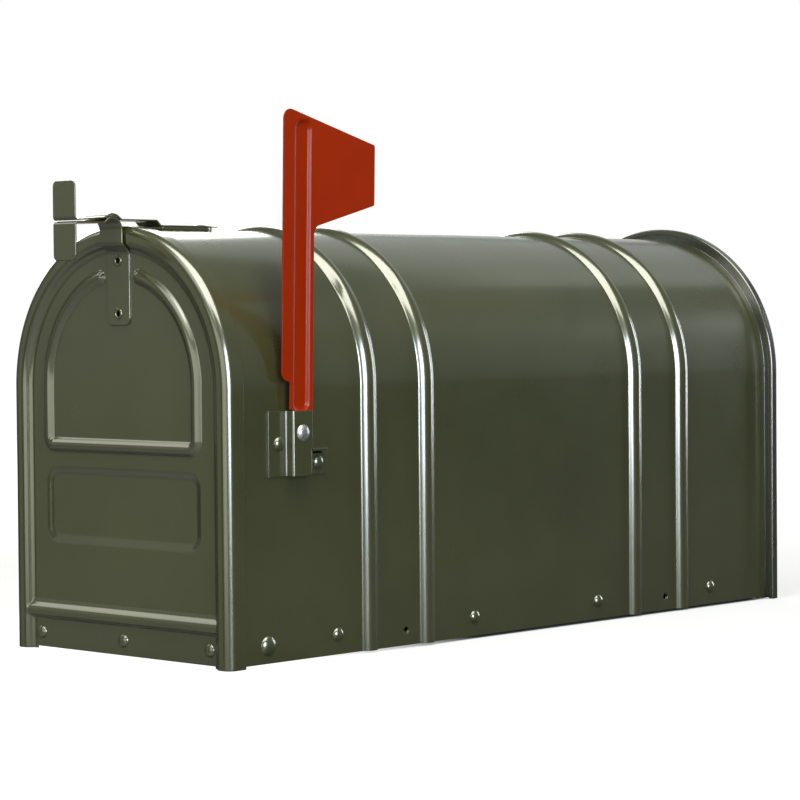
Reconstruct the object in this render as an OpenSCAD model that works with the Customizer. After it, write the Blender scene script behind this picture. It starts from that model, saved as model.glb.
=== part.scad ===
// Post-mount rural mailbox, tunnel-top, with a drop-down door and a signal flag.
// Millimetres. +X is the flag side, the door faces -Y, +Z is up.
// Origin: centre of the underside of the floor, where the mounting board seats.

/* [Body] */
// Outside width across the flat side walls
body_w = 172; // [150:1:220]
// Height from the lower edges of the walls to the crown of the roof
body_h = 230; // [200:1:290]
// Length of the formed body, front edge to the back of its rear flange
body_len = 467; // [420:1:600]
// Thickness of the body, door, back and floor sheet
sheet_t = 0.8; // [0.6:0.1:1.2]
// Depth of the recess under the floor that takes the mounting board
recess = 19; // [17:0.5:26]

/* [Ribs] */
// Height of a rib above the wall
rib_h = 3.2; // [2:0.1:3.4]
// Width of a rib between the outer ends of its foot fillets
rib_w = 14; // [12:0.5:18]
// Radius of the fillet at the foot of a rib
rib_foot = 2.3; // [1.5:0.1:3]
// Distance between the two ribs of a pair
rib_pitch = 46; // [30:1:60]
// Body front edge to the middle of the first rib
rib_front = 98.5; // [94:0.5:120]
// Body rear end to the middle of the last rib
rib_rear = 91; // [70:0.5:110]

/* [Rear seam] */
// Height of the turned-out rear flange above the wall
flange_h = 4.9; // [4:0.1:7]
// Bend radius between wall and rear flange
flange_bend = 2.5; // [1.5:0.1:3]
// Length of the lip that the flange turns back into
flange_lip = 3.8; // [3:0.1:6]
// How far the seam's front fold reaches down the flange
seam_fold = 3.2; // [2.4:0.1:3.4]
// How deep the back panel sits inside the body
back_depth = 8; // [6:0.5:14]
// How far the seam hangs below the wall
seam_drop = 1; // [0:0.1:2]

/* [Floor] */
// Depth of the side flanges below the floor's underside
floor_flange = 15; // [13:0.5:17]
// Rivets in each side flange
floor_rivet_count = 4; // [3:1:5]
// Height of the floor rivets above the wall's lower edge
floor_rivet_z = 10.8; // [9:0.1:12]
// Body front edge to the first floor rivet
floor_rivet_front = 74; // [66:1:84]
// Body rear end to the last floor rivet
floor_rivet_rear = 62; // [50:1:68]
// Diameter of the screw holes for the mounting board
screw_d = 4; // [3.5:0.1:5]
// Height of the screw holes above the wall's lower edge
screw_z = 8.3; // [7.5:0.1:10]
// Distance between the two screw holes of a side
screw_pitch = 232; // [210:1:250]
// Middle of the screw holes behind the middle of the body
screw_offset = 10; // [5:1:14]

/* [Door] */
// Clearance between the body and the door's skirt
door_gap = 0.5; // [0.4:0.05:1]
// Depth of the door from the front of its rim to the end of the skirt
door_depth = 12; // [10.5:0.5:14]
// Body front edge behind the front of the door's rim
door_standoff = 7.5; // [6.5:0.5:8.5]
// Depth of the door's face behind its rim
face_depth = 3.8; // [3:0.1:4.2]
// Outer radius of the rim's front corner
rim_r = 5; // [4:0.5:5.5]
// Width of the flat crest of the rim
rim_flat = 2.3; // [1:0.1:4]
// Width of the slope from the rim down to the face
rim_slope = 7.5; // [6:0.1:10]
// How far the door's rim hangs below the walls
rim_drop = 1.3; // [0.5:0.1:2]
// Angle that the door opens to
door_open = 95; // [85:1:100]

/* [Door pressings] */
// Height of the arched bead on the door
bead_h = 2.5; // [1.5:0.1:2.8]
// Width of the arched bead
bead_w = 7; // [6:0.5:8]
// Distance from the bead's legs to the outside of the door
bead_inset = 27.3; // [25:0.1:30]
// Height of the bead's lower bar above the wall's lower edge
bar_z = 112.6; // [108:0.1:120]
// Half of the gap in the bead at the handle
bead_gap = 15.5; // [13:0.5:20]
// Height of the middle of the recessed field above the wall's lower edge
field_z = 79.7; // [78:0.1:81]
// Distance from the recessed field's sides to the outside of the door
field_inset = 24.3; // [21:0.1:32]
// Height of the recessed field
field_h = 43; // [36:1:47]
// Depth of the recessed field
field_depth = 2; // [1:0.1:2.5]
// Width of the slope around the recessed field
field_slope = 4.5; // [3:0.1:6]
// Corner radius of the recessed field
field_r = 9.5; // [7:0.5:12]
// Height of the lower edge of the cross ledge above the wall's lower edge
ledge_z = 15.8; // [14:0.1:18]
// Height of the cross ledge up the door
ledge_w = 10.5; // [9:0.5:14]
// How far the cross ledge stands out of the face
ledge_h = 2.9; // [2:0.1:3]

/* [Hinge] */
// Hinge axis behind the body's front edge
hinge_y = 21.9; // [20:0.1:26]
// Hinge axis above the wall's lower edge
hinge_z = 9.4; // [9:0.1:10]
// Diameter of the hinge rivets' shank
hinge_pin_d = 6; // [5:0.1:6.5]
// Diameter of the hinge rivets' head
hinge_head_d = 10.5; // [9:0.5:12]
// Thickness of the hinge bracket
bracket_t = 1; // [0.8:0.1:1.2]
// Height of the hinge bracket's cross strip
hinge_strip_h = 12; // [10.5:0.5:12.5]
// Distance from the outer door rivets to the outside of the door
door_rivet_inset = 18.8; // [18.7:0.1:32]
// Side play between a hinge ear and the wall
ear_gap = 0.3; // [0.2:0.05:0.5]

/* [Latch] */
// Width of the latch straps
strap_w = 18; // [16:0.1:21]
// Thickness of the door handle's strap
strap_t = 1; // [0.8:0.1:1.2]
// Thickness of the spring catch
catch_t = 0.8; // [0.6:0.1:1]
// How far the pull tabs stand in front of the door's rim
tab_reach = 34.2; // [32:0.1:45]
// Height of a pull tab
tab_h = 20.8; // [15:0.1:25]
// Length of the handle on the door's face
handle_h = 37.9; // [34:0.1:50]
// Outer radius of the handle's hump
hump_r = 7; // [5.8:0.1:7.6]
// Crest of the handle's hump above the crown of the door
hump_rise = 4.5; // [4.2:0.1:5]
// Distance from the middle of the catch's rivet to the front of the door's rim
catch_rivet_y = 62.8; // [56:0.1:80]
// Thickness of the packing strip under the catch
packing_t = 1.2; // [0.8:0.1:1.6]

/* [Flag] */
// Height of the flag's pivot above the wall's lower edge
flag_z = 120.7; // [110:0.1:140]
// Flag pivot behind the front of the door's rim
flag_y = 50.2; // [48:0.1:56]
// Thickness of the flag
flag_t = 0.8; // [0.6:0.1:1]
// Top of the flag above its pivot, at its front edge
flag_h = 171.6; // [140:0.1:200]
// Reach of the flag's tip behind its pivot
flag_reach = 54.2; // [40:0.1:80]
// Height of the flag's tip
flag_tip_h = 32.4; // [20:0.1:40]
// Slope of the flag's upper and lower edges
flag_slope = 15; // [8:0.5:18]
// Flag edge in front of the pivot
flag_front = 14.5; // [12:0.1:18]
// Flag arm's edge behind the pivot
flag_back = 8.5; // [8:0.1:9.5]
// Outward lean of the flag
flag_lean = 1.4; // [1.2:0.1:2]
// Depth of the channel pressed into the flag
channel_depth = 1.6; // [1:0.1:1.8]
// Half of the channel's width
channel_half = 6.6; // [5:0.1:7.5]

/* [Flag bracket] */
// Height of the flag bracket
flag_bracket_h = 34.5; // [32:0.5:40]
// Space between the wall and the bracket's raised plate
flag_room = 5.2; // [4.8:0.1:6]
// Front flange of the bracket in front of the raised plate
bracket_front = 13.2; // [12:0.1:18]
// Rear flange of the bracket behind the raised plate
bracket_rear = 15.7; // [13:0.1:20]
// Raised plate on each side of the pivot
plate_half = 7.2; // [7:0.1:8]
// Diameter of the flag pivot's head
pivot_head_d = 9; // [8:0.5:12]
// Diameter of the flag pivot's shank
pivot_d = 4.8; // [4:0.1:5]

/* [Rivets] */
// Diameter of the small rivets' heads
rivet_head_d = 7.6; // [7:0.1:8.5]
// Height of a small rivet's domed head
rivet_head_h = 1.9; // [1.4:0.1:2.2]
// Diameter of the small rivets' shank
rivet_d = 4; // [3:0.1:4.4]
// Diameter of the handle's eyelets
eyelet_d = 6.2; // [5:0.1:8]

/* [Hidden] */
$fn = 96;
olive = [0.30, 0.31, 0.21];
red = [0.72, 0.13, 0.03];
zinc = [0.78, 0.79, 0.77];
seat = 0.05;             // gap between pieces that are fastened together
play = 0.05;             // radial clearance of a shank in a bore that turns on it
small = 0.2;             // clearance of a stop from what it meets
over = 1;                // how far a cut runs past the solid
bend_step = 10;          // largest angle between two points of a bend
arc_steps = 12;          // straight parts of an arc

// Body and door datums
half = body_w / 2;                    // outside of the wall
wall = half - sheet_t;                // inside of the wall
base_z = -recess;                     // lower edges of the walls
crown_z = base_z + body_h;            // top of the roof
arch_z = crown_z - half;              // centre of the arched roof
front_y = -body_len / 2;              // front edge of the body
rear_y = body_len / 2;                // rear end of the body's flange lip
rim_y = front_y - door_standoff;      // front of the door's rim
face_y = rim_y + face_depth;          // front of the door's face
door_half = half + door_gap + sheet_t; // outside of the door's skirt

// Rib: two foot fillets and a crest arc, all tangent
rib_turn = 2 * atan(2 * rib_h / rib_w);
rib_crest = rib_w / 2 / sin(rib_turn) - rib_foot;

// Slope from the rim to the face: two equal arcs, tangent
rim_turn = 2 * atan(face_depth / rim_slope);
rim_arc = rim_slope / 2 / sin(rim_turn);
face_half = door_half - rim_r - rim_flat - rim_slope;

// Rear seam
seam_gap = 0.1;                       // between the folded sheets
lip_r = 1.5;                          // outer corner of the flange lip
seam_r = 0.6;                         // inside radius of the seam's folds
back_corner = 1.5;                    // inside radius where the back panel turns
flange_y = rear_y - flange_lip;       // front face of the flange

// Door bead: a round bead whose centre lies behind the face
bead_rho = (bead_w * bead_w / 4 + bead_h * bead_h) / (2 * bead_h);
bead_r = door_half - bead_inset;      // legs and arch of the bead
bead_y = face_y + bead_rho - bead_h;
bead_z = arch_z + 2;
bead_corner = 5;                      // where the legs turn into the bar
ledge_slope = ledge_w * 0.45;         // height of the ledge's upper slope
ledge_foot = 2.6;                     // height of its lower slope

// Hinge
axis_y = front_y + hinge_y;
axis_z = base_z + hinge_z;
strip_y = face_y + sheet_t + seat;    // front of the hinge bracket's strip
strip_z = base_z + 2.2;
ear_x = wall - ear_gap;               // outer face of a hinge ear
ear_r = 7;                            // ear around the hinge pin
lug_r = 2;                            // stop lug of the ear, below the opened door
lug_len = 10;
lug_turn = asin((-axis_z - small - lug_r) / lug_len) - door_open;
notch_y = axis_y + lug_len + lug_r + 2; // front end of the floor's side flanges
door_rivet_x = door_half - door_rivet_inset;
door_rivet_z = base_z + 8.1;

// Latch
handle_y = face_y - strap_t;          // front of the handle on the face
door_top = arch_z + door_half;
neck_y = rim_y - 1.2;                 // back of the handle's neck, clear of the rim
neck_in = 1.2;                        // inside radius of the straps' small bends
step_in = 2.4;                        // inside radius where the handle steps over the rim
step_turn = 48;                       // slope of that step
hump_front = 46.5;                    // slope at the front of the handle's hump
hump_z = door_top + hump_rise;        // crest of the handle's hump
hump_foot = 1;                        // inside radius in front of the hump
tab_y = rim_y - tab_reach;            // front of both pull tabs
tab_r = 3;                            // corner radius of the pull tabs
pull_z = hump_z - hump_r * (1 - cos(hump_front)) - hump_foot * (1 - cos(hump_front));
handle_top_z = arch_z + sqrt(face_half * face_half - strap_w * strap_w / 4); // leaves the face
handle_low_z = handle_top_z - handle_h;
eyelet_z = [handle_top_z - eyelet_d / 2 - seat, handle_low_z + 6.3];
catch_y = rim_y + catch_rivet_y;
catch_room = 0.6;                     // play of the catch rivet in the roof's hole
catch_lift = 0.9;                     // free length of the catch rivet below the roof
catch_head_h = 1.1;                   // height of the catch rivet's head
tail_y = catch_y + strap_w / 2 + 1;   // rear end of the catch
curl = 8;                             // slope of the catch's tail
curl_run = 4;                         // straight end of the tail
curl_r = 12;                          // its bend
packing_end = catch_y + 5.5;          // rear end of the packing strip
packing_z = crown_z + seat;
catch_z = packing_z + packing_t + seat; // underside of the catch on its packing
catch_back = door_top + 2.8;          // underside of the catch behind its crest
catch_crest = hump_z + 1.24;          // underside of the catch over the handle's hump
catch_foot = hump_z - 0.85;           // underside in front of the crest, clear of the hump's path
catch_low = pull_z + 0.35;            // underside of the catch at its tab
catch_turn = 45;                      // slope of the joggle
crest_in = 7;                         // inside radius of the catch's crest
crest_foot = 2.5;                     // inside radius of the bends beside the crest
crest_reach = 14;                     // foot of the crest in front of the door's rim
crest_rear = 38;                      // slope behind the crest
crest_front = 32;                     // slope in front of it
joggle_y = rim_y + door_depth + 14.8; // rear foot of the joggle

// Flag
pivot_y = rim_y + flag_y;
pivot_z = base_z + flag_z;
plate_out = half + bracket_t + flag_room;   // outside of the raised plate
plate_in = plate_out - bracket_t;
flag_gap = 0.4;                       // flag behind the raised plate
flag_x = plate_in - flag_gap;         // outside of the flag at its pivot
shoulder = 8.5;                       // arm in front of the pivot, above the bracket
flag_low = 5.8;                       // arm around the pivot, inside the bracket
plate_y = pivot_y - plate_half;       // front of the raised plate
plate_end = pivot_y + plate_half;
bracket_low = pivot_z - 22.7;
bracket_top = bracket_low + flag_bracket_h;
stop_z = pivot_z - flag_back - 0.1;   // top of the lip that the lowered flag rests on
lip_x = plate_in + 0.6;
shoulder_z = bracket_top - pivot_z + 0.7;
notch_z = shoulder_z + 14.8;

// ---------------------------------------------------------------- shared shapes

function unit(v) = v / norm(v);

// Points of an arc around the origin
function arc(r, from, to) = [for (k = [0:arc_steps])
    let (angle = from + (to - from) * k / arc_steps) r * [cos(angle), sin(angle)]];

// Points that round off the corner p of an outline, between its neighbours from and to
function rounded(from, p, to, r) =
    let (u = unit(from - p),
         v = unit(to - p),
         angle = acos(u * v) / 2,
         centre = p + unit(u + v) * r / sin(angle),
         start = p + u * r / tan(angle) - centre,
         end = p + v * r / tan(angle) - centre,
         first = atan2(start.y, start.x),
         turn = (atan2(end.y, end.x) - first + 540) % 360 - 180)
    [for (point = arc(r, first, first + turn)) centre + point];

// A sheet strip bent from flat. It starts at [x, y, heading] with its thickness on the
// left, and each step is [straight run, turn, inside radius]. A left turn is positive.
module bent_strip(start, steps, t) {
    corner = [start.x, start.y];
    right = edge(steps, t, 0, start);
    polygon(concat([corner, corner + t * left(start.z)], edge(steps, t, t, start),
                   [for (i = [len(right) - 1:-1:0]) right[i]]));
}

function left(heading) = [-sin(heading), cos(heading)];

// How far the centre of a bend lies to the left of the strip's right-hand edge
function centre_off(step, t) = step[1] > 0 ? t + step[2] : -step[2];

function bend_centre(pose, step, t) = [pose.x, pose.y]
    - step[0] * left(pose.z + 90) + centre_off(step, t) * left(pose.z);

function next_pose(pose, step, t) =
    let (heading = pose.z + step[1],
         place = bend_centre(pose, step, t) - centre_off(step, t) * left(heading))
    [place.x, place.y, heading];

// One edge of a bent strip, at a distance off to the left of its right-hand edge
function edge(steps, t, off, pose, i = 0) = i == len(steps) ? [] :
    let (step = steps[i],
         count = ceil(abs(step[1]) / bend_step),
         first = step[0] > 0 ? 0 : 1,
         radius = centre_off(step, t) - off)
    concat([for (k = [first:count]) bend_centre(pose, step, t)
                - radius * left(pose.z + step[1] * k / max(count, 1))],
           edge(steps, t, off, next_pose(pose, step, t), i + 1));

// Sweeps a profile of radius and depth over the arch and down both walls to low_z
module over_arch(low_z) {
    translate([0, 0, arch_z]) rotate([-90, 0, 0]) rotate([0, 0, 180])
        rotate_extrude(angle = 180) children();
    for (side = [0, 1]) mirror([side, 0, 0])
        translate([0, 0, low_z]) linear_extrude(arch_z - low_z) children();
}

// Cylinder along Y from y0 to y1
module bar_y(r, y0, y1) {
    translate([0, y0, 0]) rotate([-90, 0, 0]) cylinder(r = r, h = y1 - y0);
}

// Cylinder along X from x0 to x1
module bar_x(r, x0, x1) {
    translate([x0, 0, 0]) rotate([0, 90, 0]) cylinder(r = r, h = x1 - x0);
}

// A rivet along +Z: the domed head stands on z = 0, the shank runs down through the
// grip and the tail is upset below it
module rivet(head_d, head_h, shank_d, grip) {
    dome = (head_d * head_d / 4 + head_h * head_h) / (2 * head_h);
    tail_d = shank_d * 1.5;
    tail_h = shank_d * 0.3;
    rotate_extrude() intersection() {
        translate([0, head_h - dome]) circle(dome);
        square([head_d, head_h]);
    }
    translate([0, 0, -grip - tail_h]) cylinder(d = shank_d, h = grip + tail_h);
    translate([0, 0, -grip - tail_h]) cylinder(d = tail_d, h = tail_h);
}

// A hollow rivet along +Z with a rolled head around its bore
module eyelet(head_d, bore_d, grip) {
    wall_t = 0.5;
    roll = (head_d - bore_d) / 4;
    shank_d = bore_d + 2 * wall_t;
    rotate_extrude() {
        intersection() {
            translate([bore_d / 2 + roll, 0]) circle(roll);
            square([head_d, roll]);
        }
        translate([bore_d / 2, -grip - wall_t]) square([wall_t, grip + wall_t]);
        translate([bore_d / 2, -grip - wall_t]) square([shank_d * 0.25 + wall_t, wall_t]);
    }
}

// Removes a square corner of a strip and leaves a round one of radius r. The corner
// points to +X and +Z, and the cut runs along Y from y0 to y1.
module corner_cut(x, z, r, y0, y1) {
    translate([0, y1, 0]) rotate([90, 0, 0]) linear_extrude(y1 - y0) difference() {
        translate([x - r, z - r]) square(r + over);
        translate([x - r, z - r]) circle(r);
    }
}

// A field pressed down from z = 0 with sloping sides, as the solid of air above it.
// a and b are half its width and height, r its corner radius, run its slope.
module pressing(a, b, r, run, depth, above) {
    translate([0, 0, -depth]) {
        for (sx = [-1, 1], sy = [-1, 1])
            translate([sx * (a - r), sy * (b - r), 0]) cylinder(h = depth, r1 = r - run, r2 = r);
        if (b > r)
            rotate([90, 0, 0]) linear_extrude(2 * (b - r), center = true) slope_2d(a, run, depth);
        if (a > r)
            rotate([90, 0, 90]) linear_extrude(2 * (a - r), center = true)
                slope_2d(b, run, depth);
    }
    linear_extrude(above) rounded_2d(a, b, r);
}

module slope_2d(a, run, depth) {
    polygon([[run - a, 0], [a - run, 0], [a, depth], [-a, depth]]);
}

module rounded_2d(a, b, r) {
    for (sx = [-1, 1], sy = [-1, 1]) translate([sx * (a - r), sy * (b - r)]) circle(r);
    if (b > r) square([2 * a, 2 * (b - r)], center = true);
    if (a > r) square([2 * (a - r), 2 * b], center = true);
}

// ---------------------------------------------------------------- body

// Front edge to rear lip, as one bent strip: two pairs of ribs, the flange and its lip
module body_profile() {
    gap = body_len - rib_front - rib_rear - 2 * rib_pitch;
    rib = [[0, -rib_turn, rib_foot], [0, 2 * rib_turn, rib_crest - sheet_t],
           [0, -rib_turn, rib_foot]];
    bent_strip([half, front_y, 90], concat(
        [[rib_front - rib_w / 2, 0, 0]], rib,
        [[rib_pitch - rib_w, 0, 0]], rib,
        [[gap - rib_w, 0, 0]], rib,
        [[rib_pitch - rib_w, 0, 0]], rib,
        [[rib_rear - rib_w / 2 - flange_lip - flange_bend, -90, flange_bend],
         [flange_h - flange_bend - lip_r, 90, lip_r - sheet_t],
         [flange_lip - lip_r, 0, 0]]), sheet_t);
}

module floor_rivet_places() {
    first = front_y + floor_rivet_front;
    step = (body_len - floor_rivet_front - floor_rivet_rear) / (floor_rivet_count - 1);
    for (i = [0:floor_rivet_count - 1])
        translate([0, first + i * step, base_z + floor_rivet_z]) children();
}

module screw_places() {
    for (side = [-1, 1])
        translate([0, screw_offset + side * screw_pitch / 2, base_z + screw_z]) children();
}

// Rivets of the flag bracket: one in each flange
module bracket_rivet_places() {
    translate([0, plate_y - bracket_front * 0.42, pivot_z - 5.5]) children();
    translate([0, plate_end + bracket_rear * 0.56, pivot_z - 16.2]) children();
}

module body_shell() {
    color(olive) difference() {
        over_arch(base_z) body_profile();
        floor_rivet_places() bar_x(rivet_d / 2, -half - over, half + over);
        screw_places() bar_x(screw_d / 2, -half - over, half + over);
        translate([0, axis_y, axis_z]) bar_x(hinge_pin_d / 2, -half - over, half + over);
        bracket_rivet_places() bar_x(rivet_d / 2, half - 3, half + over);
        translate([0, catch_y, crown_z - 3]) cylinder(d = rivet_d + catch_room, h = 6);
    }
}

// The back panel: a pan inside the body whose rim folds over the body's lip
module back_profile() {
    pan = wall - seam_gap;
    pan_y = rear_y - back_depth;
    outer = half + flange_h + seam_gap + sheet_t;
    face_end = rear_y + seam_gap + sheet_t;
    fold = seam_r + sheet_t;
    bent_strip([0, pan_y, 0], [
        [pan - sheet_t - back_corner, 90, back_corner],
        [face_end - pan_y - sheet_t - back_corner - fold, -90, seam_r],
        [outer - pan - seam_r - fold + sheet_t, -90, seam_r],
        [face_end - flange_y + seam_gap - 2 * fold + sheet_t, -90, seam_r],
        [seam_fold - fold, 0, 0]], sheet_t);
}

module back_panel() {
    color(olive) over_arch(base_z - seam_drop) back_profile();
}

// The floor: a channel with its side flanges turned down along the walls
module floor_panel() {
    width = wall - seat;
    bend = 1;
    rear = rear_y - back_depth - small;
    color(olive) difference() {
        translate([0, rear, 0]) rotate([90, 0, 0]) linear_extrude(rear - front_y - 1.5)
            bent_strip([width, -floor_flange, 90], [
                [floor_flange - bend, 90, bend],
                [2 * (width - sheet_t - bend), 90, bend],
                [floor_flange - bend, 0, 0]], sheet_t);
        for (side = [0, 1]) mirror([side, 0, 0])
            translate([wall - 3, front_y - over, -floor_flange - over])
                cube([4, notch_y - front_y + over, floor_flange + over - 0.01]);
        floor_rivet_places() bar_x(rivet_d / 2, -half, half);
        screw_places() bar_x(screw_d / 2, -half, half);
    }
}

// Rivets that hold the floor to the right wall
module floor_rivets() {
    floor_rivet_places() translate([half, 0, 0]) rotate([0, 90, 0])
        rivet(rivet_head_d, rivet_head_h, rivet_d, 2 * sheet_t + seat);
}

module floor_rivets_right() {
    color(olive) floor_rivets();
}

module floor_rivets_left() {
    color(olive) mirror([1, 0, 0]) floor_rivets();
}

// A hinge rivet: through the wall and the door's ear, which turns on it
module hinge_rivet() {
    translate([half, axis_y, axis_z]) rotate([0, 90, 0])
        rivet(hinge_head_d, rivet_head_h + 0.3, hinge_pin_d,
              sheet_t + ear_gap + bracket_t + small);
}

module hinge_rivet_right() {
    color(olive) hinge_rivet();
}

module hinge_rivet_left() {
    color(olive) mirror([1, 0, 0]) hinge_rivet();
}

// ---------------------------------------------------------------- door

// Centre line of the door to the end of its skirt, as one bent strip
module door_profile() {
    bent_strip([0, face_y, 0], [
        [face_half, -rim_turn, rim_arc],
        [0, rim_turn, rim_arc - sheet_t],
        [rim_flat, 90, rim_r - sheet_t],
        [door_depth - rim_r, 0, 0]], sheet_t);
}

// The arched bead: two legs, a lower bar and an arch that stops short of the handle
module bead_solid() {
    gap_angle = asin(bead_gap / bead_r);
    bar_height = base_z + bar_z;
    leg_low = bar_height + bead_corner;
    bar_half = bead_r - bead_corner;
    translate([0, bead_y, 0]) {
        for (side = [0, 1]) mirror([side, 0, 0]) {
            translate([0, 0, bead_z]) rotate([-90, 0, 0]) rotate([0, 0, gap_angle - 90])
                rotate_extrude(angle = 90 - gap_angle) translate([bead_r, 0])
                    circle(bead_rho);
            translate([0, 0, bead_z]) rotate([0, gap_angle, 0]) translate([0, 0, bead_r])
                sphere(bead_rho);
            translate([bead_r, 0, leg_low]) cylinder(r = bead_rho, h = bead_z - leg_low);
            translate([bar_half, 0, leg_low]) rotate([-90, 0, 0])
                rotate_extrude(angle = 90) translate([bead_corner, 0]) circle(bead_rho);
        }
        translate([0, 0, bar_height]) bar_x(bead_rho, -bar_half, bar_half);
    }
}

// The cross ledge above the door's lower strip, seen along X as depth and height
module ledge_2d() {
    low = base_z + ledge_z;
    polygon([[face_y + over, low], [face_y, low], [face_y - ledge_h, low + ledge_foot],
             [face_y - ledge_h, low + ledge_w - ledge_slope], [face_y, low + ledge_w],
             [face_y + over, low + ledge_w]]);
}

module ledge_solid(reach) {
    rotate([90, 0, 90]) translate([0, 0, -reach]) linear_extrude(2 * reach) ledge_2d();
}

module field_solid() {
    translate([0, face_y, base_z + field_z]) rotate([90, 0, 0])
        pressing(door_half - field_inset, field_h / 2, field_r, field_slope, field_depth, sheet_t);
}

module behind() {
    translate([0, sheet_t, 0]) children();
}

module door_panel() {
    ledge_end = face_half + rim_slope * 0.62;
    ledge_open = face_half;
    rivet_reach = face_y + 3;
    color(olive) difference() {
        union() {
            difference() {
                union() {
                    over_arch(base_z - rim_drop) door_profile();
                    intersection() {
                        bead_solid();
                        translate([-half, rim_y, base_z]) cube([body_w, face_depth, body_h]);
                    }
                }
                behind() bead_solid();
                behind() ledge_solid(ledge_open);
                field_solid();
            }
            difference() {
                behind() field_solid();
                field_solid();
            }
            difference() {
                ledge_solid(ledge_end);
                behind() ledge_solid(ledge_end + over);
            }
        }
        translate([-face_half, rim_y - over, base_z - rim_drop - over])
            cube([2 * face_half, door_depth, rim_drop + over]);
        for (x = [-1, 0, 1]) translate([x * door_rivet_x, 0, door_rivet_z])
            bar_y(rivet_d / 2, rim_y, rivet_reach);
        for (z = eyelet_z) translate([0, 0, z]) bar_y(eyelet_shank_d() / 2, rim_y, rivet_reach);
    }
}

function eyelet_bore_d() = eyelet_d * 0.5;
function eyelet_shank_d() = eyelet_bore_d() + 1;

// Strip behind the door's lower edge, with an ear at each end that turns on a hinge rivet
module hinge_bracket() {
    lug = [lug_len * cos(lug_turn), lug_len * sin(lug_turn)];
    strip_top = strip_z + hinge_strip_h;
    color(olive) difference() {
        union() {
            translate([-ear_x, strip_y, strip_z]) cube([2 * ear_x, bracket_t, hinge_strip_h]);
            for (side = [0, 1]) mirror([side, 0, 0])
                translate([ear_x - bracket_t, 0, 0]) rotate([90, 0, 90])
                    linear_extrude(bracket_t) {
                        translate([axis_y, axis_z]) circle(ear_r);
                        translate([axis_y, axis_z]) rotate(lug_turn) translate([0, -lug_r])
                            square([lug_len, 2 * lug_r]);
                        translate([axis_y, axis_z] + lug) circle(lug_r);
                        polygon([[strip_y, strip_z], [axis_y, axis_z - ear_r],
                                 [axis_y, axis_z + ear_r], [strip_y, strip_top]]);
                    }
        }
        translate([0, axis_y, axis_z]) bar_x(hinge_pin_d / 2 + play, -half, half);
        for (x = [-1, 0, 1]) translate([x * door_rivet_x, 0, door_rivet_z])
            bar_y(rivet_d / 2, rim_y, strip_y + 3);
    }
}

module door_rivets() {
    color(olive) for (x = [-1, 0, 1]) translate([x * door_rivet_x, face_y, door_rivet_z])
        rotate([90, 0, 0])
            rivet(rivet_head_d, rivet_head_h, rivet_d, sheet_t + seat + bracket_t);
}

// ---------------------------------------------------------------- latch

// Door handle: flat on the face, out over the rim, a hump under the catch, then forward
// to the pull tab, as one bent strip seen along X
module handle_profile() {
    step_out = face_y - neck_y;
    bends = step_in * 2 + strap_t;
    step_run = (step_out - bends * (1 - cos(step_turn))) / sin(step_turn);
    step_rise = step_run * cos(step_turn) + bends * sin(step_turn);
    neck_run = hump_z - hump_r - handle_top_z - step_rise;
    hump_in = hump_r - strap_t;
    tab_in = neck_in;
    reach = neck_y - hump_r - hump_r * sin(hump_front) - hump_foot * sin(hump_front)
        - tab_y - tab_in - strap_t;
    bent_strip([face_y, handle_low_z, 90], [
        [handle_h, step_turn, step_in],
        [step_run, -step_turn, step_in],
        [neck_run, 90 + hump_front, hump_in],
        [0, -hump_front, hump_foot],
        [reach, 90, tab_in],
        [tab_h - tab_in - strap_t, 0, 0]], strap_t);
}

module strap() {
    rotate([90, 0, 90]) translate([0, 0, -strap_w / 2]) linear_extrude(strap_w) children();
}

module door_handle() {
    pull_low = pull_z - tab_h;
    color(olive) difference() {
        strap() handle_profile();
        for (side = [0, 1]) mirror([side, 0, 0]) {
            translate([0, 0, 2 * handle_low_z]) mirror([0, 0, 1])
                corner_cut(strap_w / 2, handle_low_z, tab_r + 1, handle_y - over, face_y + over);
            translate([0, 0, 2 * pull_low]) mirror([0, 0, 1])
                corner_cut(strap_w / 2, pull_low, tab_r, tab_y - over, tab_y + strap_t + over);
        }
        for (z = eyelet_z) translate([0, 0, z])
            bar_y(eyelet_shank_d() / 2, handle_y - over, face_y + over);
    }
}

module handle_eyelets() {
    color(olive) for (z = eyelet_z) translate([0, handle_y, z]) rotate([90, 0, 0])
        eyelet(eyelet_d, eyelet_bore_d(), strap_t + sheet_t);
}

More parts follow.
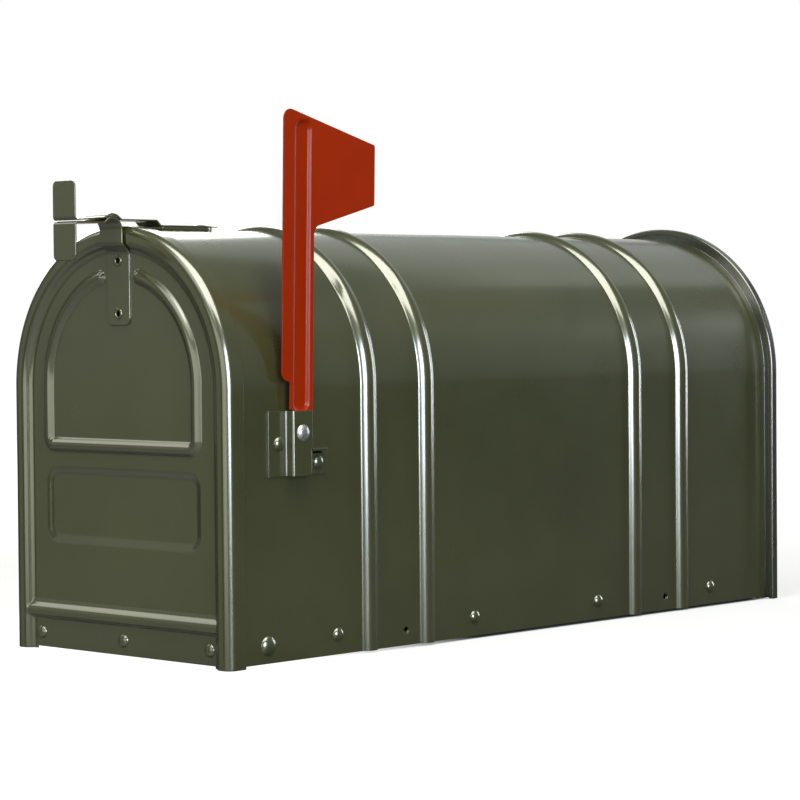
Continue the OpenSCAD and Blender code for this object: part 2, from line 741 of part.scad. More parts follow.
// Catch: flat on its packing, up a joggle, over the handle's hump and forward to its tab,
// as one bent strip seen along X, drawn along its upper side
module catch_profile() {
    rise = catch_back - catch_z;
    bends = neck_in * 2 + catch_t;
    joggle_run = (rise - bends * (1 - cos(catch_turn))) / sin(catch_turn);
    joggle_len = joggle_run * cos(catch_turn) + bends * sin(catch_turn);
    inner = crest_foot + catch_t / 2;
    outer = crest_in + catch_t / 2;
    up = catch_crest - catch_back;
    up_run = (up - (inner + outer) * (1 - cos(crest_rear))) / sin(crest_rear);
    up_len = up_run * cos(crest_rear) + (inner + outer) * sin(crest_rear);
    crest_y = neck_y - hump_r;
    dip = atan((catch_foot - catch_low) / (tab_reach - neck_in - crest_reach));
    down = catch_crest - catch_foot - outer * (1 - cos(crest_front))
        - inner * (cos(dip) - cos(crest_front));
    down_run = down / sin(crest_front);
    down_len = down_run * cos(crest_front) + outer * sin(crest_front)
        + inner * (sin(crest_front) - sin(dip));
    ahead = (crest_y - down_len - tab_y - neck_in - catch_t) / cos(dip);
    curl_rise = curl_run * sin(curl) + curl_r * (1 - cos(curl));
    curl_len = curl_run * cos(curl) + curl_r * sin(curl);
    flat_run = tail_y - curl_len - joggle_y;
    bridge = joggle_y - joggle_len - crest_y - up_len;
    bent_strip([tail_y, catch_z + catch_t + curl_rise, 180 + curl], [
        [curl_run, -curl, curl_r],
        [flat_run, -catch_turn, neck_in],
        [joggle_run, catch_turn, neck_in],
        [bridge, -crest_rear, crest_foot],
        [up_run, crest_rear + crest_front, crest_in],
        [down_run, dip - crest_front, crest_foot],
        [ahead, -90 - dip, neck_in],
        [tab_h - neck_in - catch_t, 0, 0]], catch_t);
}

// Plan of a strap from start_y to a round end at end_y
module round_end(start_y, end_y) {
    centre = end_y - strap_w / 2;
    translate([-strap_w / 2, start_y]) square([strap_w, centre - start_y]);
    translate([0, centre]) circle(d = strap_w);
}

module catch_strap() {
    tab_top = catch_low + tab_h;
    color(olive) difference() {
        strap() catch_profile();
        translate([0, 0, crown_z]) linear_extrude(packing_t + 4) difference() {
            translate([-strap_w / 2 - over, catch_y]) square([strap_w + 2 * over, strap_w]);
            round_end(joggle_y, tail_y);
        }
        for (side = [0, 1]) mirror([side, 0, 0])
            corner_cut(strap_w / 2, tab_top, tab_r, tab_y - over, tab_y + catch_t + over);
        translate([0, catch_y, crown_z - over]) cylinder(d = rivet_d, h = packing_t + 4);
    }
}

// Packing strip between the roof and the catch, hollowed to the roof's curve
module catch_packing() {
    top = packing_z + packing_t;
    drop = half - sqrt(half * half - strap_w * strap_w / 4) + seat;
    color(olive) difference() {
        translate([0, 0, top - packing_t - drop]) linear_extrude(packing_t + drop)
            round_end(joggle_y + 0.5, packing_end);
        translate([0, 0, arch_z]) bar_y(half + seat, front_y, 0, $fn = 360);
        translate([0, catch_y, arch_z]) cylinder(d = rivet_d + catch_room, h = body_h);
    }
}

module catch_rivet() {
    grip = catch_t + packing_t + sheet_t + 2 * seat + catch_lift;
    color(olive) translate([0, catch_y, catch_z + catch_t])
        rivet(rivet_head_d, catch_head_h, rivet_d, grip);
}

// ---------------------------------------------------------------- flag

// Bracket seen from above: front flange, step out, raised plate, and where full is true
// the step back to the rear flange
module bracket_profile(full) {
    concave = 0.8;
    convex = 0.3;
    step = flag_room - concave - convex - bracket_t;
    fold = convex + bracket_t;
    plate_run = full ? plate_end - plate_y - 2 * fold : plate_end - plate_y - fold;
    front = [[bracket_front - concave, -90, concave], [step, 90, convex]];
    rear = [[plate_run, 90, convex], [step, -90, concave], [bracket_rear - concave, 0, 0]];
    bent_strip([half + bracket_t, plate_y - bracket_front, 90],
               concat(front, full ? rear : [[plate_run, 0, 0]]), bracket_t);
}

module flag_bracket() {
    color(olive) difference() {
        union() {
            translate([0, 0, bracket_low]) linear_extrude(stop_z - bracket_low)
                bracket_profile(true);
            translate([0, 0, stop_z]) linear_extrude(bracket_top - stop_z)
                bracket_profile(false);
            translate([half, plate_end + 1, stop_z - bracket_t])
                cube([lip_x - half, bracket_rear - 5, bracket_t]);
        }
        bracket_rivet_places() bar_x(rivet_d / 2, half - over, half + bracket_t + over);
        translate([0, pivot_y, pivot_z]) bar_x(pivot_d / 2, plate_in - over, plate_out + over);
    }
}

module bracket_rivets() {
    color(olive) bracket_rivet_places() translate([half + bracket_t, 0, 0])
        rotate([0, 90, 0]) rivet(rivet_head_d, rivet_head_h, rivet_d, bracket_t + sheet_t);
}

// Outline of the flag around its pivot: x runs rearward, y up
module flag_2d() {
    rise = tan(flag_slope);
    tip_top = flag_h - rise * (flag_front + flag_reach);
    tip_low = tip_top - flag_tip_h;
    arm = tip_low - rise * (flag_reach - flag_back);
    apex = [-flag_front, flag_h];
    tip_a = [flag_reach, tip_top];
    tip_b = [flag_reach, tip_low];
    root = [flag_back, arm];
    notch = [-flag_front, notch_z];
    inner = [-shoulder, notch_z];
    foot = [-shoulder, shoulder_z];
    neck = [-flag_low, shoulder_z];
    heel = arc(flag_back, 0, -asin(flag_low / flag_back));
    toe = arc(flag_low, 270, 180);
    step = flag_front - shoulder;
    polygon(concat(rounded(notch, apex, tip_a, 5), rounded(apex, tip_a, tip_b, 1.5),
                   rounded(tip_a, tip_b, root, 1.5), rounded(tip_b, root, heel[0], 5),
                   heel, toe, [neck, foot], rounded(foot, inner, notch, 0.15 * step),
                   rounded(inner, notch, apex, 0.8 * step)));
}

// The channel's round lower end stays inside the narrow foot below the flag's shoulder
module channel_solid() {
    foot_half = min(flag_low - 0.4, channel_half);
    low = shoulder_z - channel_half + sqrt(channel_half * channel_half - foot_half * foot_half);
    high = flag_h - 6;
    translate([0, (low + high) / 2, flag_t])
        pressing(channel_half, (high - low) / 2, channel_half, 2.6, channel_depth, flag_t);
}

module flag() {
    color(red) difference() {
        translate([flag_x - flag_t, pivot_y, pivot_z]) rotate([0, flag_lean, 0])
            rotate([90, 0, 90]) {
                difference() {
                    linear_extrude(flag_t) flag_2d();
                    channel_solid();
                }
                difference() {
                    translate([0, 0, -flag_t]) channel_solid();
                    channel_solid();
                }
            }
        translate([0, pivot_y, pivot_z]) bar_x(pivot_d / 2 + play, flag_x - 3, flag_x + 3);
    }
}

// Washer between the flag and the upset end of its pivot
module flag_washer() {
    color(zinc) translate([0, pivot_y, pivot_z]) difference() {
        bar_x(5.2, flag_x - flag_t - 0.7, flag_x - flag_t - 0.2);
        bar_x(pivot_d / 2 + play, half, flag_x);
    }
}

module flag_pivot_rivet() {
    grip = plate_out - flag_x + flag_t + 0.75;
    color(zinc) translate([plate_out, pivot_y, pivot_z]) rotate([0, 90, 0])
        rivet(pivot_head_d, rivet_head_h, pivot_d, grip);
}

// ---------------------------------------------------------------- nodes

body_shell();
back_panel();
floor_panel();
floor_rivets_right();
floor_rivets_left();
hinge_rivet_right();
hinge_rivet_left();
door_panel();
hinge_bracket();
door_rivets();
door_handle();
handle_eyelets();
catch_packing();
catch_strap();
catch_rivet();
flag_bracket();
bracket_rivets();
flag();
flag_washer();
flag_pivot_rivet();
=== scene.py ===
"""Looks of the post-mount mailbox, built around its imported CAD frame.

Lengths are millimetres, in the frame of the part's source: +X is the flag side, the door
faces -Y, +Z is up, and z = 0 is the underside of the floor panel. Only the finishes and the
studio, which is the camera, the lights and the ground, are in metres.
"""
import math
import bpy
import bmesh
from mathutils import Matrix, Vector, noise


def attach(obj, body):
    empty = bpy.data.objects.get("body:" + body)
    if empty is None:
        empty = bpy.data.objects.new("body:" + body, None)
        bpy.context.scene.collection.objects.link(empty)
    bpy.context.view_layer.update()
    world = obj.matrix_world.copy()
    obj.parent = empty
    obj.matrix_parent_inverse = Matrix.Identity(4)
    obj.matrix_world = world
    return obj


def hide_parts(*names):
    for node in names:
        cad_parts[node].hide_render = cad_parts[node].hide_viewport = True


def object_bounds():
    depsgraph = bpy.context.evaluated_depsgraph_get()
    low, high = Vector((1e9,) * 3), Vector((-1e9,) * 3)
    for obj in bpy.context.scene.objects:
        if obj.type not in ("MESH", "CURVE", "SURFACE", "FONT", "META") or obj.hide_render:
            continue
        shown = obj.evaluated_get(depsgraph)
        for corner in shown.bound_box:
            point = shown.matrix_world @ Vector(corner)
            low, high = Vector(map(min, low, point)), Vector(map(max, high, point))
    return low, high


MM = 0.001
WELD = 2e-6                             # metres at which two points of a mesh are one
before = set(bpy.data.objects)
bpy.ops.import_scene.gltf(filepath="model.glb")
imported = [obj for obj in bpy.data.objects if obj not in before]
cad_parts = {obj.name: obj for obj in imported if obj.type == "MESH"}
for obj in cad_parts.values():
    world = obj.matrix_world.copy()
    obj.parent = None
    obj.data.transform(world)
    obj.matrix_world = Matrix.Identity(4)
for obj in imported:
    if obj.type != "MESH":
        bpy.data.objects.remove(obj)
cad_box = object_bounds()
bpy.context.scene.view_settings.view_transform = "Standard"

# ------------------------------------------------------------------ dimensions, in mm
# Body
SHEET = 0.8                             # body, door, back and flag
SEAT = 0.05                             # gap between pieces that are fastened together
BODY_W, BODY_H, BODY_LEN, RECESS = 172.0, 230.0, 467.0, 19.0
HALF = BODY_W / 2                       # outside of the walls
WALL = HALF - SHEET                     # inside of the walls
BASE_Z = -RECESS                        # lower edges of the walls
CROWN_Z = BASE_Z + BODY_H               # top of the roof
ARCH_Z = CROWN_Z - HALF                 # centre of the arched roof
FRONT_Y, REAR_Y = -BODY_LEN / 2, BODY_LEN / 2
RIB_H, RIB_W, RIB_FOOT, RIB_PITCH, RIB_FRONT, RIB_REAR = 3.2, 14.0, 2.3, 46.0, 98.5, 91.0
SCREW_D, SCREW_Z, SCREW_PITCH, SCREW_OFFSET = 4.0, BASE_Z + 8.3, 232.0, 10.0
WAVE, WAVES_PER_MM = 0.22, 0.016        # how far the long sheet strays from true

# Rear seam
FLANGE_H, FLANGE_BEND, FLANGE_LIP, LIP_R = 4.9, 0.2, 3.8, 1.1
SEAM_GAP, SEAM_BEND, SEAM_FOLD, SEAM_DROP = 0.1, 0.3, 3.2, 1.0
BACK_DEPTH, BACK_CORNER = 8.0, 1.5
# where the painted shade of the rear seam begins, and where it is full
SEAM_SHADE_START, SEAM_SHADE_FULL = REAR_Y - 5.9, REAR_Y - 4.5

# Door
DOOR_GAP, DOOR_STANDOFF, DOOR_DEPTH, FACE_DEPTH = 0.5, 7.5, 12.0, 3.8
RIM_R, RIM_FLAT, RIM_SLOPE, RIM_DROP = 5.0, 2.3, 7.5, 1.3
DOOR_HALF = HALF + DOOR_GAP + SHEET     # outside of the door's skirt
FACE_HALF = DOOR_HALF - RIM_R - RIM_FLAT - RIM_SLOPE
DOOR_TOP = ARCH_Z + DOOR_HALF
RIM_Y = FRONT_Y - DOOR_STANDOFF         # front of the door's rim
FACE_Y = RIM_Y + FACE_DEPTH             # front of the door's face

# Door pressings
BEAD_H, BEAD_W, BEAD_POWER = 2.5, 8.2, 1.35
BEAD_R, BEAD_Z = DOOR_HALF - 27.3, ARCH_Z + 2
BAR_Z = BASE_Z + 112.6                  # the bead's lower bar
BEAD_CORNER, BEAD_GAP = 5.0, 15.5       # legs into bar, and half of the gap at the handle
FIELD_Z, FIELD_HALF_W, FIELD_HALF_H = BASE_Z + 79.7, DOOR_HALF - 24.3, 21.5
FIELD_R, FIELD_DEPTH, FIELD_SLOPE = 9.5, 1.2, 5.0
LEDGE_Z, LEDGE_W, LEDGE_H = BASE_Z + 15.8, 10.5, 2.9
LEDGE_FOOT, LEDGE_TOP = 2.8, 5.6        # heights of its lower and upper slopes
LEDGE_REACH, LEDGE_BLEND = 8.5, 1.1     # how it runs out on the rim's slope
MARGIN = 1.7                            # fine mesh around a pressing
TINY = 0.02                             # smallest step between two rows of a mesh

# Latch
STRAP_W, STRAP_T, CATCH_T, PACKING_T = 18.0, 1.0, 0.8, 1.2
CORNER_TURNS = (6, 14, 22, 32, 44, 57, 72, 90)  # rows of its rounded corners, fine at the end
NECK_IN, STEP_IN, STEP_TURN = 1.2, 2.4, 48.0
HUMP_R, HUMP_FRONT, HUMP_FOOT = 7.0, 46.5, 1.0
HUMP_Z = DOOR_TOP + 4.5                 # crest of the handle's hump
NECK_Y = RIM_Y - 1.2                    # back of the handle's neck
TAB_Y, TAB_H, TAB_R = RIM_Y - 34.2, 20.8, 3.0
PULL_Z = HUMP_Z - (HUMP_R + HUMP_FOOT) * (1 - math.cos(math.radians(HUMP_FRONT)))
HANDLE_TOP = ARCH_Z + math.sqrt(FACE_HALF ** 2 - (STRAP_W / 2) ** 2)
HANDLE_LOW, HANDLE_R = HANDLE_TOP - 37.9, 4.0
EYELET_D, EYELET_SHANK, EYELET_TAIL = 6.2, 4.1, 0.5
EYELETS = [HANDLE_TOP - EYELET_D / 2 - SEAT, HANDLE_LOW + 6.3]
CATCH_Y = RIM_Y + 62.8                  # middle of the catch's rivet
TAIL_Y = CATCH_Y + STRAP_W / 2 + 1      # rear end of the catch
JOGGLE_Y = RIM_Y + DOOR_DEPTH + 14.8    # rear foot of the joggle
CATCH_Z = CROWN_Z + SEAT + PACKING_T + SEAT
CATCH_BACK = DOOR_TOP + 2.8             # underside of the catch behind its crest
CATCH_CREST = HUMP_Z + 1.24             # over the handle's hump
CATCH_FOOT = HUMP_Z - 0.85              # in front of the crest
CATCH_LOW = PULL_Z + 0.35               # at its tab
CURL, CURL_RUN, CURL_R = 8.0, 4.0, 12.0
CATCH_TURN, CREST_IN, CREST_FOOT, CREST_REACH = 45.0, 7.0, 2.5, 14.0
CREST_REAR, CREST_FRONT = 38.0, 32.0    # slopes behind and in front of the crest

# Flag and its bracket. The flag's sizes are from its pivot: up, forward and rearward.
PIVOT_Y, PIVOT_Z = RIM_Y + 50.2, BASE_Z + 120.7
FLAG_TOP, FLAG_FRONT, FLAG_BACK, FLAG_REACH, FLAG_LOW = 171.6, 14.5, 8.5, 54.2, 5.8
FLAG_TIP_H, FLAG_SLOPE, FLAG_LEAN, FLAG_GAP = 32.4, 15.0, 1.4, 0.4
FLAG_R, TIP_R = 5.0, 1.5                # large and small corners of the flag
CHANNEL_HALF, CHANNEL_DEPTH, CHANNEL_SLOPE, CHANNEL_END = 6.6, 1.6, 2.6, 6.0
CHANNEL_FOOT = 5.4                      # half of its width at the bracket
BRACKET_T, BRACKET_H, BRACKET_FRONT, BRACKET_REAR = 1.0, 34.5, 13.2, 15.7
BRACKET_IN, BRACKET_OUT = 0.8, 0.3      # inside radii of its bends
PLATE_HALF, PLATE_ROOM = 7.2, 5.2       # raised plate, and its space over the wall
PLATE_OUT = HALF + BRACKET_T + PLATE_ROOM
PLATE_IN = PLATE_OUT - BRACKET_T
PLATE_Y, PLATE_END = PIVOT_Y - PLATE_HALF, PIVOT_Y + PLATE_HALF
FLAG_X = PLATE_IN - FLAG_GAP            # outside of the flag at its pivot
BRACKET_LOW = PIVOT_Z - 22.7
BRACKET_TOP = BRACKET_LOW + BRACKET_H
STOP_Z = PIVOT_Z - FLAG_BACK - 0.1      # lip that the lowered flag rests on
STOP_DEPTH, STOP_RISE, STOP_OUT = 3.0, 1.2, 4.0
STOP_YS = [PLATE_END + 1, PLATE_END + 6, PLATE_END + BRACKET_REAR - 4]
SHOULDER_Z = BRACKET_TOP - PIVOT_Z + 0.7  # above the pivot, as the flag's outline is
NOTCH_Z, NOTCH_IN, NOTCH_OUT = SHOULDER_Z + 14.8, 0.9, 4.8

# Rivets
HEAD_D, HEAD_H, SHANK_D = 7.6, 1.9, 4.0
PIN_HEAD_D, PIN_HEAD_H, PIN_D = 10.5, 2.2, 6.0
PIVOT_HEAD_D, PIVOT_D = 9.0, 4.8
CATCH_HEAD_H, CATCH_LIFT = 1.1, 0.9     # flat head, and the shank's free length
EAR_GAP, PIN_PLAY, WASHER_ROOM = 0.3, 0.2, 0.75
PIN_Y, PIN_Z = FRONT_Y + 21.9, BASE_Z + 9.4
FLOOR_FRONT, FLOOR_REAR, FLOOR_COUNT = 74.0, 62.0, 4
FLOOR_RIVET_Z = BASE_Z + 10.8
DOOR_RIVET_X, DOOR_RIVET_Z = DOOR_HALF - 18.8, BASE_Z + 8.1
BRACKET_RIVETS = [(PLATE_Y - BRACKET_FRONT * 0.42, PIVOT_Z - 5.5),
                  (PLATE_END + BRACKET_REAR * 0.56, PIVOT_Z - 16.2)]
DOME_FLAT, DOME_DROP = 2.4, 0.72        # powers of the heads' curve
HEAD_EDGE, HEAD_SUNK = 0.12, 0.1
TAIL_R, TAIL_H = 0.75, 0.3              # upset tails, over the shank's diameter
TAIL_NEAR, TAIL_FAR = 0.2, 0.3          # their corners

# Rounding of cut edges
SHEET_EDGE, HANDLE_EDGE, THIN_EDGE = 0.16, 0.24, 0.2
CAD_EDGES = (("floor_panel", 0.15), ("hinge_bracket", 0.2), ("catch_packing", 0.15))
WASHER_EDGE = 0.1

# Studio, in metres and degrees
CAMERA_AT = (1.1335, -1.22014, 0.16599)
CAMERA_YAW, CAMERA_DIP, CAMERA_ROLL = 43.3275, 1.8516, -0.4681
FOCAL_LENGTH = 124.985                  # in mm, on a sensor 36 mm wide
ROOM_LEVEL = 0.13                       # what the object mirrors between the lights
GROUND_HALF, GROUND_EDGE, GROUND_DROP = 12.0, -0.165, 0.32
GROUND_NEAR, GROUND_FAR, GROUND_PALE, GROUND_FADE = 0.5, 1.6, 0.55, 0.12
BOUNCE_FROM, BOUNCE_TO = -0.5, -0.25    # where the ground turns dark to the object
BOUNCE_FRONT, BOUNCE_UNDER = 0.22, 0.05


# ------------------------------------------------------------------ shape helpers
def sin(deg):
    return math.sin(math.radians(deg))


def cos(deg):
    return math.cos(math.radians(deg))


def left(deg):
    """Unit vector to the left of a heading in degrees."""
    return Vector((-sin(deg), cos(deg)))


def smooth(value):
    """Soft step from 0 to 1."""
    value = min(max(value, 0.0), 1.0)
    return value * value * (3 - 2 * value)


def spread(marks):
    """Values from one mark to the next, each (value, spacing up to the next mark)."""
    values = []
    for (low, step), (high, _) in zip(marks, marks[1:]):
        count = max(1, round((high - low) / step))
        values += [low + (high - low) * k / count for k in range(count)]
    return values + [marks[-1][0]]


def bent_line(start, steps, t, turn_step=6.0, run_step=14.0):
    """Middle line of a strip of thickness t bent from flat. start is (x, y, heading) on its
    right-hand side, and each step is (straight run, turn to the left, inside radius)."""
    place, heading = Vector(start[:2]), start[2]
    line = [place + left(heading) * t / 2]
    for run, turn, inside in steps:
        ahead = left(heading - 90)
        if run > 0:
            count = max(1, math.ceil(run / run_step))
            for k in range(1, count + 1):
                line.append(place + ahead * (run * k / count) + left(heading) * t / 2)
            place = place + ahead * run
        if turn:
            reach = t + inside if turn > 0 else -inside
            centre = place + left(heading) * reach
            count = max(2, math.ceil(abs(turn) / turn_step))
            for k in range(1, count + 1):
                line.append(centre - left(heading + turn * k / count) * (reach - t / 2))
            heading += turn
            place = centre - left(heading) * reach
    return line


def tunnel(heights, turns):
    """Stations up one wall, over the arch and down the other, for heights and degrees. Each
    is (height of the centre, outward x, outward z)."""
    wall = [(z, 1, 0) for z in heights]
    arch = [(ARCH_Z, cos(turn), sin(turn)) for turn in turns]
    return wall + arch + [(z, -1, 0) for z in reversed(heights)]


def grid_faces(rows, cols, first=0, keep=None):
    """Quads between the points of a grid stored row by row."""
    faces = []
    for i in range(rows - 1):
        for j in range(cols - 1):
            if keep is None or keep(i, j):
                a = first + i * cols + j
                faces.append((a, a + 1, a + cols + 1, a + cols))
    return faces


def add_object(name, data):
    obj = bpy.data.objects.new(name, data)
    bpy.context.scene.collection.objects.link(obj)
    return obj


def mesh_object(name, verts, faces):
    """A clean smooth-shaded mesh from points in millimetres."""
    mesh = bpy.data.meshes.new(name)
    mesh.from_pydata([Vector(v) * MM for v in verts], [], faces)
    bm = bmesh.new()
    bm.from_mesh(mesh)
    bmesh.ops.remove_doubles(bm, verts=bm.verts, dist=WELD)
    bmesh.ops.dissolve_degenerate(bm, edges=bm.edges, dist=WELD / 2)
    loose = [v for v in bm.verts if not v.link_faces]
    bmesh.ops.delete(bm, geom=loose, context="VERTS")
    bmesh.ops.recalc_face_normals(bm, faces=bm.faces)
    bm.to_mesh(mesh)
    bm.free()
    mesh.shade_smooth()
    return add_object(name, mesh)


def bake_modifiers(obj):
    """Applies the object's modifiers to its mesh."""
    graph = bpy.context.evaluated_depsgraph_get()
    mesh = bpy.data.meshes.new_from_object(obj.evaluated_get(graph))
    old = obj.data
    obj.modifiers.clear()
    obj.data = mesh
    bpy.data.meshes.remove(old)


def drill(obj, centre, axis, diameter, depth=12.0):
    """Cuts a round hole along X or Y, with its middle at the centre."""
    bm = bmesh.new()
    bmesh.ops.create_cone(bm, cap_ends=True, segments=32, radius1=diameter / 2 * MM,
                          radius2=diameter / 2 * MM, depth=depth * MM)
    turn = Matrix.Rotation(math.pi / 2, 4, {"X": "Y", "Y": "X"}[axis])
    bm.transform(Matrix.Translation(Vector(centre) * MM) @ turn)
    mesh = bpy.data.meshes.new("drill")
    bm.to_mesh(mesh)
    bm.free()
    cutter = add_object("drill", mesh)
    mod = obj.modifiers.new("hole", "BOOLEAN")
    mod.operation = "DIFFERENCE"
    mod.solver = "EXACT"
    mod.object = cutter
    bake_modifiers(obj)
    bpy.data.objects.remove(cutter)
    bpy.data.meshes.remove(mesh)


def level_normals(obj, weight):
    """Shades the large flats flat, and the small faces beside them round."""
    mod = obj.modifiers.new("normals", "WEIGHTED_NORMAL")
    mod.mode = "FACE_AREA"
    mod.weight = weight


def soften(obj, edge):
    """Rounds an object's sharp edges and keeps its flats flat."""
    mod = obj.modifiers.new("edges", "BEVEL")
    mod.width = edge * MM
    mod.segments = 2
    mod.limit_method = "ANGLE"
    mod.angle_limit = math.radians(38)
    mod.use_clamp_overlap = False
    level_normals(obj, 60)
    obj.data.shade_smooth()


def sheet(obj, thickness, edge, holes=()):
    """Gives a surface its thickness, its holes as (centre, axis, diameter) and its edges."""
    mod = obj.modifiers.new("thickness", "SOLIDIFY")
    mod.thickness = thickness * MM
    mod.offset = 0
    mod.use_even_offset = True
    mod.use_quality_normals = True
    if holes:
        bake_modifiers(obj)
    for hole in holes:
        drill(obj, *hole)
    soften(obj, edge)


def paint(obj, material):
    obj.data.materials.clear()
    obj.data.materials.append(material)


def fit(obj, body, node, material):
    """Puts a piece on its body, in the place of a CAD node, with its finish."""
    paint(obj, material)
    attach(obj, body)
    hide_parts(node)


def dress(node, material, edge):
    """A CAD node that stays: new finish and softened edges."""
    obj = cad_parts[node]
    paint(obj, material)
    mod = obj.modifiers.new("weld", "WELD")
    mod.merge_threshold = WELD
    soften(obj, edge)


# ------------------------------------------------------------------ finishes
def new_material(name):
    """A material, its nodes, its shader and the object's own coordinates."""
    material = bpy.data.materials.new(name)
    material.use_nodes = True
    tree = material.node_tree
    place = tree.nodes.new("ShaderNodeTexCoord").outputs["Object"]
    return material, tree, tree.nodes["Principled BSDF"], place


def feed(tree, value, socket):
    """Links a node's output into a socket, or sets the socket to a plain value."""
    if isinstance(value, bpy.types.NodeSocket):
        tree.links.new(value, socket)
    else:
        socket.default_value = value


def noise_node(tree, place, scale, detail=2.0, roughness=0.5):
    node = tree.nodes.new("ShaderNodeTexNoise")
    node.inputs["Scale"].default_value = scale
    node.inputs["Detail"].default_value = detail
    node.inputs["Roughness"].default_value = roughness
    tree.links.new(place, node.inputs["Vector"])
    return node.outputs["Fac"]


def remap(tree, value, low, high, out_low, out_high):
    node = tree.nodes.new("ShaderNodeMapRange")
    for key, number in zip(("From Min", "From Max", "To Min", "To Max"),
                           (low, high, out_low, out_high)):
        node.inputs[key].default_value = number
    tree.links.new(value, node.inputs["Value"])
    return node.outputs["Result"]


def maths(tree, operation, *values):
    node = tree.nodes.new("ShaderNodeMath")
    node.operation = operation
    for value, socket in zip(values, node.inputs):
        feed(tree, value, socket)
    return node.outputs[0]


def split(tree, vector):
    """The X, Y and Z outputs of a vector."""
    node = tree.nodes.new("ShaderNodeSeparateXYZ")
    tree.links.new(vector, node.inputs[0])
    return node.outputs


def mix_colours(tree, share, first, second):
    """From the first colour at share 0 to the second at 1, as red, green and blue."""
    node = tree.nodes.new("ShaderNodeMix")
    node.data_type = "RGBA"
    for value, index in ((share, 0), (first, 6), (second, 7)):
        feed(tree, (*value, 1) if isinstance(value, tuple) else value, node.inputs[index])
    return node.outputs[2]


def bump(tree, height, strength, distance):
    node = tree.nodes.new("ShaderNodeBump")
    node.inputs["Strength"].default_value = strength
    node.inputs["Distance"].default_value = distance
    tree.links.new(height, node.inputs["Height"])
    return node.outputs["Normal"]


def enamel(name, dark, light, roughness, metallic, specular, coat, coat_ior, seam_shade=None):
    """Sprayed enamel: cloudy colour, fine flake, orange peel and uneven gloss. With a seam shade
    colour, it turns to that in the rear seam: painted shade that darkens the seam's flange and
    fold.
    Noise scales are per metre, and the bump's height is in metres."""
    material, tree, shader, place = new_material(name)
    cloud = noise_node(tree, place, 14.0, 4.0, 0.6)
    flake = noise_node(tree, place, 2600.0, 1.0)
    patches = maths(tree, "MULTIPLY_ADD", flake, 0.35, cloud)
    colour = mix_colours(tree, remap(tree, patches, 0.4, 0.95, 0.0, 1.0), dark, light)
    if seam_shade:
        # painted shade: the colour turns dark towards the rear seam
        shade_share = remap(tree, split(tree, place)["Y"], SEAM_SHADE_START * MM, SEAM_SHADE_FULL * MM, 0.0, 0.7)
        colour = mix_colours(tree, shade_share, colour, seam_shade)
    smudge = noise_node(tree, place, 38.0, 5.0, 0.65)
    peel = noise_node(tree, place, 620.0)
    ripple = noise_node(tree, place, 90.0)
    height = maths(tree, "MULTIPLY_ADD", ripple, 1.6, peel)
    gloss = remap(tree, smudge, 0.3, 0.7, roughness - 0.035, roughness + 0.045)
    for key, value in (("Base Color", colour), ("Roughness", gloss), ("Metallic", metallic),
                       ("Specular IOR Level", specular), ("Coat Weight", coat),
                       ("Coat IOR", coat_ior), ("Coat Roughness", 0.17),
                       ("Normal", bump(tree, height, 0.35, 0.00004))):
        feed(tree, value, shader.inputs[key])
    return material


def plated(name):
    """Zinc plating: spangled grey with fine scratches."""
    material, tree, shader, place = new_material(name)
    spangle = noise_node(tree, place, 700.0, 3.0, 0.7)
    colour = mix_colours(tree, remap(tree, spangle, 0.3, 0.7, 0.0, 1.0),
                         (0.30, 0.30, 0.27), (0.62, 0.63, 0.60))
    for key, value in (("Base Color", colour), ("Metallic", 0.9),
                       ("Roughness", remap(tree, spangle, 0.3, 0.7, 0.26, 0.42)),
                       ("Normal", bump(tree, spangle, 0.3, 0.00005))):
        feed(tree, value, shader.inputs[key])
    return material


# The olive's seam shade colour is painted shade in the rear seam.
olive = enamel("olive_enamel", dark=(0.039, 0.042, 0.013), light=(0.055, 0.058, 0.0195),
               roughness=0.30, metallic=0.35, specular=0.5, coat=1.0, coat_ior=2.1,
               seam_shade=(0.007, 0.009, 0.010))
red = enamel("red_enamel", dark=(0.185, 0.0112, 0.0002), light=(0.225, 0.0145, 0.0003),
             roughness=0.36, metallic=0.0, specular=0.06, coat=0.22, coat_ior=1.5)
zinc = plated("zinc_plating")


# ------------------------------------------------------------------ body and back
def over_arch(line, low_z, wave=0.0, wall_rows=12, arch_rows=80):
    """Sweeps a line of (radius, y) up one wall, over the arch and down the other."""
    heights = [low_z + (ARCH_Z - low_z) * k / wall_rows for k in range(wall_rows)]
    path = tunnel(heights, [180 * k / arch_rows for k in range(arch_rows + 1)])
    verts = []
    for centre, out_x, out_z in path:
        for r, y in line:
            point = Vector((r * out_x, y, centre + r * out_z))
            away = wave * noise.noise(point * WAVES_PER_MM)
            verts.append(point + Vector((out_x, 0, out_z)) * away)
    return verts, grid_faces(len(path), len(line))


def shell_line():
    """Front edge to rear lip of the shell: wall, two pairs of ribs, flange and lip."""
    turn = math.degrees(2 * math.atan(2 * RIB_H / RIB_W))
    crest = RIB_W / 2 / sin(turn) - RIB_FOOT
    rib = [(0, -turn, RIB_FOOT), (0, 2 * turn, crest - SHEET), (0, -turn, RIB_FOOT)]
    pair = [*rib, (RIB_PITCH - RIB_W, 0, 0), *rib]
    middle = BODY_LEN - RIB_FRONT - RIB_REAR - 2 * RIB_PITCH - RIB_W
    rear = RIB_REAR - RIB_W / 2 - FLANGE_LIP - FLANGE_BEND
    steps = [(RIB_FRONT - RIB_W / 2, 0, 0), *pair, (middle, 0, 0), *pair,
             (rear, -90, FLANGE_BEND), (FLANGE_H - FLANGE_BEND - LIP_R, 90, LIP_R - SHEET),
             (FLANGE_LIP - LIP_R, 0, 0)]
    return bent_line((HALF, FRONT_Y, 90), steps, SHEET)


